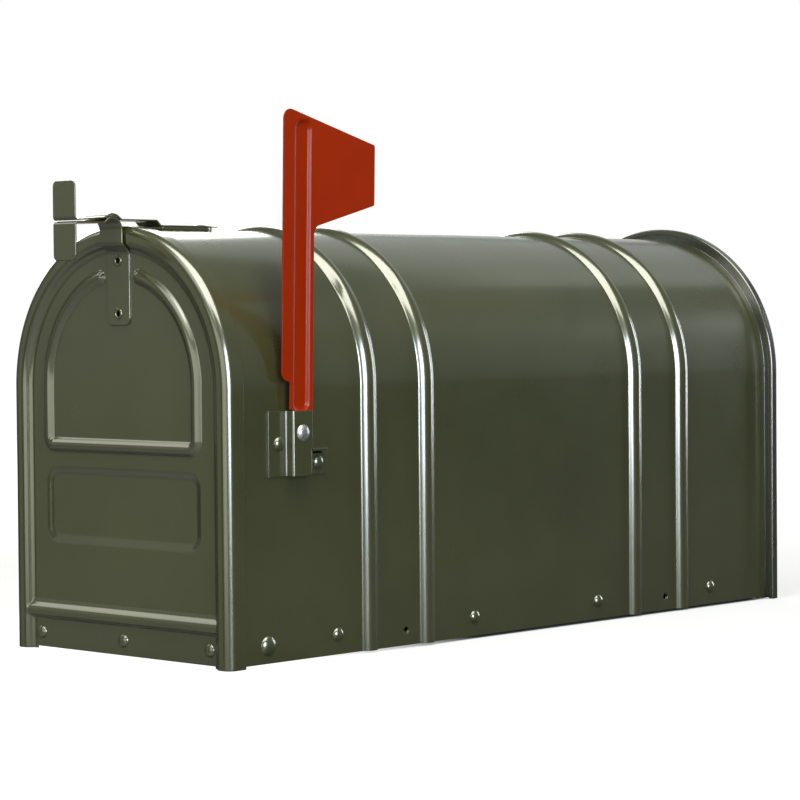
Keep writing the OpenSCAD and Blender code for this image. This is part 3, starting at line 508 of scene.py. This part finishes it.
def back_line():
    """Middle of the back panel to the front edge of the fold round the shell's lip."""
    pan, pan_y = WALL - SEAM_GAP, REAR_Y - BACK_DEPTH
    outer = HALF + FLANGE_H + SEAM_GAP + SHEET
    face_end = REAR_Y + SEAM_GAP + SHEET
    fold = SEAM_BEND + SHEET
    steps = [(pan - SHEET - BACK_CORNER, 90, BACK_CORNER),
             (face_end - pan_y - SHEET - BACK_CORNER - fold, -90, SEAM_BEND),
             (outer - pan - SEAM_BEND - fold + SHEET, -90, SEAM_BEND),
             (face_end - REAR_Y + FLANGE_LIP + SEAM_GAP - 2 * fold + SHEET, -90, SEAM_BEND),
             (SEAM_FOLD - fold, 0, 0)]
    return bent_line((0, pan_y, 0), steps, SHEET)


def add_shell():
    shell = mesh_object("shell", *over_arch(shell_line(), BASE_Z, WAVE))
    screws = [SCREW_OFFSET - SCREW_PITCH / 2, SCREW_OFFSET + SCREW_PITCH / 2]
    sheet(shell, SHEET, SHEET_EDGE,
          [((side * HALF, y, SCREW_Z), "X", SCREW_D) for side in (1, -1) for y in screws])
    fit(shell, "box", "body_shell", olive)


def add_back():
    back = mesh_object("back", *over_arch(back_line(), BASE_Z - SEAM_DROP))
    sheet(back, SHEET, SHEET_EDGE)
    fit(back, "box", "back_panel", olive)


# ------------------------------------------------------------------ door
def bead_distance(x, z):
    """Distance from the middle of the arched bead: an open arch, two legs and a bar."""
    x = abs(x)
    leg_low = BAR_Z + BEAD_CORNER
    open_turn = math.asin(BEAD_GAP / BEAD_R)
    end = Vector((BEAD_GAP, BEAD_Z + BEAD_R * math.cos(open_turn)))
    away = [(Vector((x, z)) - end).length]
    if z >= BEAD_Z and math.atan2(x, z - BEAD_Z) >= open_turn:
        away.append(abs(math.hypot(x, z - BEAD_Z) - BEAD_R))
    if leg_low <= z <= BEAD_Z:
        away.append(abs(x - BEAD_R))
    if x <= BEAD_R - BEAD_CORNER:
        away.append(abs(z - BAR_Z))
    if x >= BEAD_R - BEAD_CORNER and z <= leg_low:
        away.append(abs(math.hypot(x - BEAD_R + BEAD_CORNER, z - leg_low) - BEAD_CORNER))
    return min(away)


def field_inside(x, z):
    """Distance inside the edge of the recessed field, negative outside it."""
    dx = abs(x) - FIELD_HALF_W + FIELD_R
    dz = abs(z - FIELD_Z) - FIELD_HALF_H + FIELD_R
    outside = math.hypot(max(dx, 0), max(dz, 0)) + min(max(dx, dz), 0)
    return FIELD_R - outside


def pressed(x, y, z, r):
    """Depth of the door's sheet at a point, with the ledge, the bead and the field."""
    if r < FACE_HALF + LEDGE_REACH:
        up, down = (z - LEDGE_Z) / LEDGE_FOOT, (LEDGE_Z + LEDGE_W - z) / LEDGE_TOP
        rise = LEDGE_H * smooth(up) * smooth(down)
        if rise > 0:
            front = FACE_Y + SHEET / 2 - rise
            mix = min(max(0.5 + 0.5 * (front - y) / LEDGE_BLEND, 0), 1)
            y = front * (1 - mix) + y * mix - LEDGE_BLEND * mix * (1 - mix)
    if r < FACE_HALF:
        near = bead_distance(x, z) / (BEAD_W / 2)
        if near < 1:
            y -= BEAD_H * (1 - near * near) ** BEAD_POWER
        y += FIELD_DEPTH * smooth(field_inside(x, z) / FIELD_SLOPE)
    return y


def door_line():
    """Middle of the door to the end of its skirt, as (radius, y), and how many of the
    points are on the flat face. Fine around the bead's legs and the field's sides."""
    turn = math.degrees(2 * math.atan(FACE_DEPTH / RIM_SLOPE))
    arc_r = RIM_SLOPE / 2 / sin(turn)
    rim = bent_line((FACE_HALF, FACE_Y, 0),
                    [(0, -turn, arc_r), (0, turn, arc_r - SHEET), (RIM_FLAT, 90, RIM_R - SHEET),
                     (DOOR_DEPTH - RIM_R, 0, 0)], SHEET, turn_step=4.5, run_step=2.5)
    flat = spread([(0, 5), (BEAD_R - 10, 0.55), (BEAD_R + 7, 1.3), (FACE_HALF, 1)])[:-1]
    return [(r, FACE_Y + SHEET / 2) for r in flat] + [tuple(p) for p in rim], len(flat)


def door_heights():
    """Heights of the door's mesh below the arch, fine at the edges of its pressings."""
    field_low, field_high = FIELD_Z - FIELD_HALF_H, FIELD_Z + FIELD_HALF_H
    return spread([(BASE_Z - RIM_DROP, 1.3), (BASE_Z, 3),
                   (LEDGE_Z - MARGIN, 0.4), (LEDGE_Z + LEDGE_W + MARGIN, 5),
                   (field_low - MARGIN, 0.6), (field_low + FIELD_R + MARGIN, 5),
                   (field_high - FIELD_R - MARGIN, 0.6), (field_high + MARGIN, 2.5),
                   (BAR_Z - BEAD_W / 2 - MARGIN, 0.5), (BAR_Z + BEAD_CORNER + MARGIN, 5),
                   (ARCH_Z, 1)])[:-1]


def door_mesh():
    """The door's sheet. Its face ends at the walls' lower edges, so the lowest row of the
    mesh has the rim and the skirt alone."""
    line, face_cols = door_line()
    bead_end = math.degrees(math.acos(BEAD_GAP / BEAD_R))
    turns = spread([(0, 1.5), (bead_end - 5, 0.55), (bead_end + 5, 1.6),
                    (175 - bead_end, 0.55), (185 - bead_end, 1.5), (180, 1)])
    path = tunnel(door_heights(), turns)
    verts = []
    for centre, out_x, out_z in path:
        for r, y in line:
            x, z = r * out_x, centre + r * out_z
            verts.append((x, pressed(x, y, z, r), z))
    last = len(path) - 2
    return verts, grid_faces(len(path), len(line), keep=lambda i, j: j >= face_cols or 0 < i < last)


def add_door():
    door = mesh_object("door", *door_mesh())
    sheet(door, SHEET, SHEET_EDGE, [((0, FACE_Y, z), "Y", EYELET_SHANK) for z in EYELETS])
    fit(door, "door", "door_panel", olive)


# ------------------------------------------------------------------ straps
def measure(line):
    """Distance of each point of a line from its start."""
    along = [0.0]
    for a, b in zip(line, line[1:]):
        along.append(along[-1] + (b - a).length)
    return along


def refine(line, extra):
    """The line with added points at the given distances from its start."""
    along = measure(line)
    points = list(zip(along, line))
    for distance in extra:
        for k in range(len(along) - 1):
            if along[k] + TINY < distance < along[k + 1] - TINY:
                share = (distance - along[k]) / (along[k + 1] - along[k])
                points.append((distance, line[k].lerp(line[k + 1], share)))
    points.sort(key=lambda entry: entry[0])
    return [point for _, point in points]


def strap_mesh(name, line, start_r, end_r, across=9):
    """A strap along a line seen along X, with rounded corners at both ends."""
    total = measure(line)[-1]
    steps = [1 - cos(turn) for turn in CORNER_TURNS]
    line = refine(line, [start_r * k for k in steps] + [total - end_r * k for k in steps])
    verts = []
    for distance, point in zip(measure(line), line):
        half = STRAP_W / 2
        for r, gone in ((start_r, distance), (end_r, total - distance)):
            if gone < r:
                half = min(half, STRAP_W / 2 - r + math.sqrt(max(r * r - (r - gone) ** 2, 0)))
        half = max(half, SEAT)
        verts += [(half * (2 * k / (across - 1) - 1), point.x, point.y) for k in range(across)]
    return mesh_object(name, verts, grid_faces(len(line), across))


def handle_line():
    """Middle line of the handle: flat on the face, out over the rim, the hump, the tab."""
    bends = STEP_IN * 2 + STRAP_T
    run = (FACE_Y - NECK_Y - bends * (1 - cos(STEP_TURN))) / sin(STEP_TURN)
    rise = run * cos(STEP_TURN) + bends * sin(STEP_TURN)
    neck = HUMP_Z - HUMP_R - HANDLE_TOP - rise
    hump_end = NECK_Y - HUMP_R - (HUMP_R + HUMP_FOOT) * sin(HUMP_FRONT)
    steps = [(HANDLE_TOP - HANDLE_LOW, STEP_TURN, STEP_IN), (run, -STEP_TURN, STEP_IN),
             (neck, 90 + HUMP_FRONT, HUMP_R - STRAP_T), (0, -HUMP_FRONT, HUMP_FOOT),
             (hump_end - TAB_Y - NECK_IN - STRAP_T, 90, NECK_IN),
             (TAB_H - NECK_IN - STRAP_T, 0, 0)]
    return bent_line((FACE_Y, HANDLE_LOW, 90), steps, STRAP_T, run_step=4)


def catch_line():
    """Middle line of the catch: curled tail, flat on its packing, up a joggle, over the
    hump and forward to the top of its tab."""
    bends = NECK_IN * 2 + CATCH_T
    joggle = (CATCH_BACK - CATCH_Z - bends * (1 - cos(CATCH_TURN))) / sin(CATCH_TURN)
    joggle_len = joggle * cos(CATCH_TURN) + bends * sin(CATCH_TURN)
    inner, outer = CREST_FOOT + CATCH_T / 2, CREST_IN + CATCH_T / 2
    up = CATCH_CREST - CATCH_BACK - (inner + outer) * (1 - cos(CREST_REAR))
    up_run = up / sin(CREST_REAR)
    up_len = up_run * cos(CREST_REAR) + (inner + outer) * sin(CREST_REAR)
    crest_y = NECK_Y - HUMP_R
    dip = math.degrees(math.atan((CATCH_FOOT - CATCH_LOW)
                                 / (RIM_Y - TAB_Y - NECK_IN - CREST_REACH)))
    down = (CATCH_CREST - CATCH_FOOT - outer * (1 - cos(CREST_FRONT))
            - inner * (cos(dip) - cos(CREST_FRONT)))
    down_run = down / sin(CREST_FRONT)
    down_len = (down_run * cos(CREST_FRONT) + outer * sin(CREST_FRONT)
                + inner * (sin(CREST_FRONT) - sin(dip)))
    ahead = (crest_y - down_len - TAB_Y - NECK_IN - CATCH_T) / cos(dip)
    curl_rise = CURL_RUN * sin(CURL) + CURL_R * (1 - cos(CURL))
    curl_len = CURL_RUN * cos(CURL) + CURL_R * sin(CURL)
    steps = [(CURL_RUN, -CURL, CURL_R), (TAIL_Y - curl_len - JOGGLE_Y, -CATCH_TURN, NECK_IN),
             (joggle, CATCH_TURN, NECK_IN),
             (JOGGLE_Y - joggle_len - crest_y - up_len, -CREST_REAR, CREST_FOOT),
             (up_run, CREST_REAR + CREST_FRONT, CREST_IN),
             (down_run, dip - CREST_FRONT, CREST_FOOT),
             (ahead, -90 - dip, NECK_IN), (TAB_H - NECK_IN - CATCH_T, 0, 0)]
    start = (TAIL_Y, CATCH_Z + CATCH_T + curl_rise, 180 + CURL)
    return bent_line(start, steps, CATCH_T, run_step=4)


def add_handle():
    handle = strap_mesh("handle", handle_line(), HANDLE_R, TAB_R)
    sheet(handle, STRAP_T, HANDLE_EDGE, [((0, FACE_Y, z), "Y", EYELET_SHANK) for z in EYELETS])
    fit(handle, "door", "door_handle", olive)


def add_catch():
    catch = strap_mesh("catch", catch_line(), STRAP_W / 2, TAB_R)
    sheet(catch, CATCH_T, THIN_EDGE)
    fit(catch, "catch", "catch_strap", olive)


# ------------------------------------------------------------------ flag and bracket
def bracket_mesh():
    """Bracket: front flange, step out, raised plate, step back, rear flange and its lip.
    Above the lip there is no rear flange, and the plate ends flat and free."""
    step = PLATE_ROOM - BRACKET_IN - BRACKET_OUT - BRACKET_T
    fold = BRACKET_OUT + BRACKET_T
    shared = [(BRACKET_FRONT - BRACKET_IN, -90, BRACKET_IN), (step, 90, BRACKET_OUT),
              (2 * PLATE_HALF - 2 * fold, 0, 0)]
    rest = [(0, 90, BRACKET_OUT), (step, -90, BRACKET_IN), (BRACKET_REAR - BRACKET_IN, 0, 0)]
    start = (HALF + BRACKET_T, PLATE_Y - BRACKET_FRONT, 90)
    line = bent_line(start, shared + rest, BRACKET_T, turn_step=15, run_step=4)
    count = len(bent_line(start, shared, BRACKET_T, turn_step=15, run_step=4))
    verts, faces = [], []

    def add(points, heights):
        first = len(verts)
        verts.extend((p[0], p[1], z) for z in heights for p in points)
        faces.extend(grid_faces(len(heights), len(points), first))

    edge = line[count - 1]
    low = [BRACKET_LOW + (STOP_Z - BRACKET_LOW) * k / 3 for k in range(4)]
    high = [STOP_Z + (BRACKET_TOP - STOP_Z) * k / 3 for k in range(4)]
    add(line[:count], low[:-1] + high)
    add(line[count - 1:], low)
    add([edge, Vector((edge.x, PLATE_END))], high)
    lip = bent_line((STOP_Z - STOP_DEPTH, HALF, 0),
                    [(STOP_RISE, 90, BRACKET_IN), (STOP_OUT, 0, 0)], BRACKET_T, turn_step=15)
    first = len(verts)
    verts.extend((p.y, y, p.x) for p in lip for y in STOP_YS)
    faces.extend(grid_faces(len(lip), len(STOP_YS), first))
    return verts, faces


def rounded(before, corner, after, r, count=6):
    """Points that round off a corner of an outline."""
    before, corner, after = Vector(before), Vector(corner), Vector(after)
    u, v = (before - corner).normalized(), (after - corner).normalized()
    angle = u.angle(v) / 2
    centre = corner + (u + v).normalized() * r / math.sin(angle)
    start = corner + u * r / math.tan(angle) - centre
    turn = (corner + v * r / math.tan(angle) - centre).angle_signed(start)
    return [centre + Matrix.Rotation(turn * k / count, 2) @ start for k in range(count + 1)]


def flag_outline():
    """Outline of the flag around its pivot, as (rearward, up)."""
    rise = math.tan(math.radians(FLAG_SLOPE))
    tip_top = FLAG_TOP - rise * (FLAG_FRONT + FLAG_REACH)
    tip_low = tip_top - FLAG_TIP_H
    apex, notch, inner = (-FLAG_FRONT, FLAG_TOP), (-FLAG_FRONT, NOTCH_Z), (-FLAG_BACK, NOTCH_Z)
    tip_a, tip_b = (FLAG_REACH, tip_top), (FLAG_REACH, tip_low)
    root = (FLAG_BACK, tip_low - rise * (FLAG_REACH - FLAG_BACK))
    heel_turn = math.degrees(math.asin(FLAG_LOW / FLAG_BACK))
    heel = [(FLAG_BACK * cos(heel_turn * k / 6), -FLAG_BACK * sin(heel_turn * k / 6))
            for k in range(7)]
    toe = [(-FLAG_LOW * sin(9 * k), -FLAG_LOW * cos(9 * k)) for k in range(11)]
    shoulder = [(-FLAG_LOW, SHOULDER_Z - TINY), (-FLAG_BACK, SHOULDER_Z + TINY)]
    return (rounded(notch, apex, tip_a, FLAG_R) + rounded(apex, tip_a, tip_b, TIP_R)
            + rounded(tip_a, tip_b, root, TIP_R) + rounded(tip_b, root, heel[0], FLAG_R)
            + heel + toe + shoulder + rounded(shoulder[1], inner, notch, NOTCH_IN, 3)
            + rounded(inner, notch, apex, NOTCH_OUT))


def crossings(outline, z):
    """Least and greatest place where the outline passes a height."""
    found = []
    for a, b in zip(outline, outline[1:] + outline[:1]):
        if min(a[1], b[1]) <= z <= max(a[1], b[1]):
            found.append(a[0])
            if abs(b[1] - a[1]) > 1e-9:
                found[-1] += (b[0] - a[0]) * (z - a[1]) / (b[1] - a[1])
            else:
                found.append(b[0])
    return min(found), max(found)


def flag_mesh():
    """The flag around its pivot, as (rearward, up, depth of its channel)."""
    outline = flag_outline()
    top = max(point[1] for point in outline)
    low = SHOULDER_Z + math.sqrt(CHANNEL_HALF ** 2 - CHANNEL_FOOT ** 2)
    high = FLAG_TOP - CHANNEL_END - CHANNEL_HALF
    marks = spread([(-FLAG_LOW, 1.2), (low - CHANNEL_HALF, 0.6), (low + 2, 6), (high, 0.6),
                    (FLAG_TOP - CHANNEL_END, 1), (top - TINY, 1)])
    heights = []
    for z in sorted(marks + [point[1] for point in outline]):
        if not heights or z - heights[-1] > 1.5 * TINY:
            heights.append(z)
    flat = CHANNEL_HALF - CHANNEL_SLOPE - 0.4
    columns = spread([(-FLAG_FRONT, 2), (-FLAG_BACK, 1), (-CHANNEL_HALF, 0.4), (-flat, 2.4),
                      (flat, 0.4), (CHANNEL_HALF, 1), (FLAG_BACK, 4.6), (FLAG_REACH, 1)])
    verts = []
    for z in heights:
        first, last = crossings(outline, min(max(z, -FLAG_LOW), top - TINY / 2))
        for x in columns:
            x = min(max(x, first), last)
            away = math.hypot(x, z - min(max(z, low), high))
            verts.append((x, z, CHANNEL_DEPTH * smooth((CHANNEL_HALF - away) / CHANNEL_SLOPE)))
    return verts, grid_faces(len(heights), len(columns))


def add_bracket():
    bracket = mesh_object("flag_bracket_sheet", *bracket_mesh())
    sheet(bracket, BRACKET_T, THIN_EDGE)
    fit(bracket, "box", "flag_bracket", olive)


def add_flag():
    """The flag upright at its pivot, leaning outward."""
    verts, faces = flag_mesh()
    placed = []
    for x, z, deep in verts:
        out = -SHEET / 2 - deep
        placed.append((FLAG_X + out * cos(FLAG_LEAN) + z * sin(FLAG_LEAN), PIVOT_Y + x,
                       PIVOT_Z + z * cos(FLAG_LEAN) - out * sin(FLAG_LEAN)))
    flag = mesh_object("signal_flag", placed, faces)
    sheet(flag, SHEET, THIN_EDGE)
    fit(flag, "flag", "flag", red)


# ------------------------------------------------------------------ rivets
def lathe(profile, place, axis, count=40):
    """Points and faces of a turned piece. The profile is (radius, height), and the
    height runs along axis from place."""
    axis = Vector(axis)
    side = Vector((0, 0, 1)) if abs(axis.z) < 0.5 else Vector((1, 0, 0))
    other = axis.cross(side)
    size = len(profile)
    verts, faces = [], []
    for k in range(count):
        around = side * cos(360 * k / count) + other * sin(360 * k / count)
        verts += [Vector(place) + around * r + axis * h for r, h in profile]
        for j in range(size - 1):
            a, b = k * size + j, (k + 1) % count * size + j
            faces.append((a, b, b + 1, a + 1))
    return verts, faces


def rivet_profile(head_d, head_h, shank_d, grip):
    """Domed head with a soft rim, a shank through the grip and an upset tail."""
    r, shank, tail = head_d / 2, shank_d / 2, shank_d * TAIL_R
    end = -grip - shank_d * TAIL_H
    dome = [(r * k / 12, head_h * (1 - (k / 12) ** DOME_FLAT) ** DOME_DROP) for k in range(12)]
    return dome + [(r, HEAD_EDGE), (r, -HEAD_SUNK), (shank, -HEAD_SUNK), (shank, -grip),
                   (tail - TAIL_NEAR, -grip), (tail, -grip - TAIL_NEAR), (tail, end + TAIL_FAR),
                   (tail - TAIL_FAR, end), (0, end)]


def eyelet_profile():
    """Rolled rim of a hollow eyelet, its shank through handle and door, and its tail."""
    bore, roll = EYELET_D / 4, EYELET_D / 8
    tail, seat = EYELET_D / 2 - TINY, -STRAP_T - SHEET
    rim = [(bore + roll - roll * cos(180 * k / 14), roll * sin(180 * k / 14)) for k in range(15)]
    return rim + [(EYELET_SHANK / 2, 0), (EYELET_SHANK / 2, seat), (tail, seat),
                  (tail, seat - EYELET_TAIL), (bore, seat - EYELET_TAIL), rim[0]]


def turned(name, body, node, profile, places, axis, material):
    """All the rivets of one CAD node, as one piece."""
    verts, faces = [], []
    for place in places:
        points, quads = lathe(profile, place, axis)
        faces += [tuple(len(verts) + k for k in quad) for quad in quads]
        verts += points
    obj = mesh_object(name, verts, faces)
    level_normals(obj, 50)
    fit(obj, body, node, material)


def add_rivets():
    floor_step = (BODY_LEN - FLOOR_FRONT - FLOOR_REAR) / (FLOOR_COUNT - 1)
    floor_ys = [FRONT_Y + FLOOR_FRONT + floor_step * k for k in range(FLOOR_COUNT)]
    small = rivet_profile(HEAD_D, HEAD_H, SHANK_D, 2 * SHEET + SEAT)
    pin = rivet_profile(PIN_HEAD_D, PIN_HEAD_H, PIN_D, SHEET + EAR_GAP + BRACKET_T + PIN_PLAY)
    for side, word in ((1, "right"), (-1, "left")):
        turned("floor_rivets_" + word + "_turned", "box", "floor_rivets_" + word, small,
               [(side * HALF, y, FLOOR_RIVET_Z) for y in floor_ys], (side, 0, 0),
               olive)
        turned("hinge_rivet_" + word + "_turned", "box", "hinge_rivet_" + word, pin,
               [(side * HALF, PIN_Y, PIN_Z)], (side, 0, 0), olive)
    turned("door_rivets_turned", "door", "door_rivets",
           rivet_profile(HEAD_D, HEAD_H, SHANK_D, SHEET + SEAT + BRACKET_T),
           [(x, FACE_Y, DOOR_RIVET_Z) for x in (-DOOR_RIVET_X, 0, DOOR_RIVET_X)], (0, -1, 0),
           olive)
    turned("bracket_rivets_turned", "box", "bracket_rivets",
           rivet_profile(HEAD_D, HEAD_H, SHANK_D, BRACKET_T + SHEET),
           [(HALF + BRACKET_T, y, z) for y, z in BRACKET_RIVETS], (1, 0, 0),
           olive)
    catch_grip = CATCH_T + PACKING_T + SHEET + 2 * SEAT + CATCH_LIFT
    turned("catch_rivet_turned", "catch", "catch_rivet",
           rivet_profile(HEAD_D, CATCH_HEAD_H, SHANK_D, catch_grip),
           [(0, CATCH_Y, CATCH_Z + CATCH_T)], (0, 0, 1), olive)
    pivot_grip = PLATE_OUT - FLAG_X + SHEET + WASHER_ROOM
    turned("flag_pivot_turned", "box", "flag_pivot_rivet",
           rivet_profile(PIVOT_HEAD_D, HEAD_H, PIVOT_D, pivot_grip),
           [(PLATE_OUT, PIVOT_Y, PIVOT_Z)], (1, 0, 0), zinc)
    turned("handle_eyelets_turned", "door", "handle_eyelets", eyelet_profile(),
           [(0, FACE_Y - STRAP_T, z) for z in EYELETS], (0, -1, 0), olive)


# ------------------------------------------------------------------ studio
def camera():
    """Camera at the photograph's angle, a little right of the door's corner."""
    ahead = Vector((-sin(CAMERA_YAW) * cos(CAMERA_DIP), cos(CAMERA_YAW) * cos(CAMERA_DIP),
                    -sin(CAMERA_DIP)))
    right = ahead.cross(Vector((0, 0, 1))).normalized()
    up = right.cross(ahead)
    across = right * cos(CAMERA_ROLL) + up * sin(CAMERA_ROLL)
    above = up * cos(CAMERA_ROLL) - right * sin(CAMERA_ROLL)
    data = bpy.data.cameras.new("camera")
    data.lens = FOCAL_LENGTH
    obj = add_object("camera", data)
    turn = Matrix((across, above, -ahead)).transposed().to_4x4()
    obj.matrix_world = Matrix.Translation(CAMERA_AT) @ turn
    bpy.context.scene.camera = obj


def softbox(name, place, target, width, height, power, colour):
    """A soft area light of some watts, aimed at a point."""
    data = bpy.data.lights.new(name, "AREA")
    data.shape = "RECTANGLE"
    data.size, data.size_y = width, height
    data.energy = power
    data.color = colour
    obj = add_object(name, data)
    obj.location = place
    obj.rotation_euler = (Vector(target) - Vector(place)).to_track_quat("-Z", "Y").to_euler()


def lights():
    """Main light on the flag's side and the front, dim panels for the door and the roof to
    mirror. None stands at the camera's own angle, where every inner corner would shine."""
    softbox("overhead", (0.5, -0.45, 1.5), (0.1, -0.1, 0.1), 1.6, 1.4, 38, (1.0, 1.0, 0.90))
    softbox("upper_left", (-1.4, -0.8, 1.35), (0, -0.2, 0.1), 0.7, 0.9, 3.2, (1.0, 1.0, 0.85))
    softbox("side_strip", (2.07, -0.75, 0.5), (0, 0, 0.1), 0.54, 1.1, 30, (0.80, 0.88, 1.0))
    softbox("front_right", (2.02, -1.29, 0.5), (0, 0, 0.1), 0.62, 1.0, 24, (0.78, 0.88, 1.0))
    softbox("front", (0.48, -2.25, 0.38), (0, 0, 0.1), 1.95, 1.2, 10, (0.97, 1.0, 0.82))
    softbox("front_high", (0.2, -1.75, 1.6), (0, -0.1, 0.1), 1.6, 1.0, 9, (1.0, 1.0, 0.90))
    softbox("front_panel", (-1.51, -1.55, 0.30), (0, -0.24, 0.1), 0.7, 1.2, 0.6, (0.95, 1.0, 0.66))
    softbox("rear_strip", (0.5, 1.75, 0.4), (0, 0, 0.1), 0.3, 0.8, 6, (0.9, 0.95, 1.0))
    softbox("roof_panel", (-0.70, 1.6, 1.35), (0, 0, 0.15), 2.1, 1.0, 2.4, (0.90, 0.98, 0.93))
    softbox("rear_left", (-1.6, 1.7, 0.43), (0, 0, 0.15), 1.1, 0.9, 1.7, (0.97, 1.0, 0.92))
    softbox("left_fill", (-1.7, 0.9, 0.9), (0, 0, 0.1), 1.2, 1.0, 16, (1.0, 1.0, 0.92))
    softbox("rear_fill", (0.60, 1.7, 1.25), (0, 0, 0.15), 1.4, 1.0, 0.25, (0.95, 1.0, 0.90))


def show_background(tree, hidden, shown, output):
    """Gives an output the shown shader on the camera's rays and on those through glass, and
    the hidden one on all others. Glossy rays are among those, because the enamel in the
    photograph mirrors a dark room."""
    rays = tree.nodes.new("ShaderNodeLightPath").outputs
    seen = maths(tree, "MAXIMUM", rays["Is Camera Ray"], rays["Is Transmission Ray"])
    mix = tree.nodes.new("ShaderNodeMixShader")
    for value, socket in zip((seen, hidden, shown), mix.inputs):
        tree.links.new(value, socket)
    tree.links.new(mix.outputs[0], output.inputs["Surface"])


def backdrop():
    """White background, and a dim cool room for the object to mirror."""
    world = bpy.data.worlds.new("studio")
    world.use_nodes = True
    tree = world.node_tree
    room = tree.nodes["Background"]
    room.inputs["Color"].default_value = (0.90, 0.95, 1.0, 1)
    room.inputs["Strength"].default_value = ROOM_LEVEL
    white = tree.nodes.new("ShaderNodeBackground")
    white.inputs["Color"].default_value = (1, 1, 1, 1)
    show_background(tree, room.outputs[0], white.outputs[0], tree.nodes["World Output"])
    bpy.context.scene.world = world


def ground_level(tree, place):
    """Level of the ground's white: full far away and towards the step, less beside the box,
    and none under it, so that its recess doesn't glow."""
    reach = tree.nodes.new("ShaderNodeVectorMath")
    reach.operation = "LENGTH"
    tree.links.new(place, reach.inputs[0])
    apart = tree.nodes.new("ShaderNodeVectorMath")
    apart.operation = "ABSOLUTE"
    tree.links.new(place, apart.inputs[0])
    aside = split(tree, apart.outputs["Vector"])
    beside = maths(tree, "MAXIMUM",
                   remap(tree, aside["X"], (HALF - 2) * MM, (HALF + 2) * MM, 0.0, 1.0),
                   remap(tree, aside["Y"], (REAR_Y - 3.5) * MM, (REAR_Y + 2.5) * MM, 0.0, 1.0))
    far = remap(tree, reach.outputs["Value"], GROUND_NEAR, GROUND_FAR, GROUND_PALE, 1.0)
    step = remap(tree, split(tree, place)["Y"], GROUND_EDGE, GROUND_EDGE + GROUND_FADE, 1.0, 0.0)
    return maths(tree, "MAXIMUM", maths(tree, "MULTIPLY", far, beside), step)


def ground_material():
    """White to the camera but for the object's shadow, and dark to the object, so that
    little light comes back up from it."""
    material, tree, shader, place = new_material("floor_white")
    shader.inputs["Base Color"].default_value = (0.3, 0.3, 0.3, 1)
    shader.inputs["Roughness"].default_value = 0.9
    shader.inputs["Specular IOR Level"].default_value = 0.1
    glow = tree.nodes.new("ShaderNodeEmission")
    tree.links.new(ground_level(tree, place), glow.inputs["Strength"])
    both = tree.nodes.new("ShaderNodeAddShader")
    tree.links.new(shader.outputs[0], both.inputs[0])
    tree.links.new(glow.outputs[0], both.inputs[1])
    dull = tree.nodes.new("ShaderNodeBsdfDiffuse")
    tree.links.new(remap(tree, split(tree, place)["Y"], BOUNCE_FROM, BOUNCE_TO,
                         BOUNCE_FRONT, BOUNCE_UNDER), dull.inputs["Color"])
    show_background(tree, dull.outputs[0], both.outputs[0], tree.nodes["Material Output"])
    return material


def floor():
    """Pale floor that keeps the object's shadow and is white to the camera. It ends in a
    step under the box's front, so that the open door hangs free in front of it."""
    low = cad_box[0][2] - 0.2 * MM
    outline = ((GROUND_HALF, low), (GROUND_EDGE, low), (GROUND_EDGE, low - GROUND_DROP),
               (-GROUND_HALF, low - GROUND_DROP))
    mesh = bpy.data.meshes.new("floor")
    mesh.from_pydata([(side * GROUND_HALF, y, z) for y, z in outline for side in (-1, 1)], [],
                     grid_faces(len(outline), 2))
    obj = add_object("floor", mesh)
    paint(obj, ground_material())


# ------------------------------------------------------------------ assembly
add_shell()
add_back()
add_door()
add_handle()
add_catch()
add_bracket()
add_flag()
add_rivets()
for name, edge in CAD_EDGES:
    dress(name, olive, edge)
dress("flag_washer", zinc, WASHER_EDGE)

camera()
lights()
backdrop()
floor()
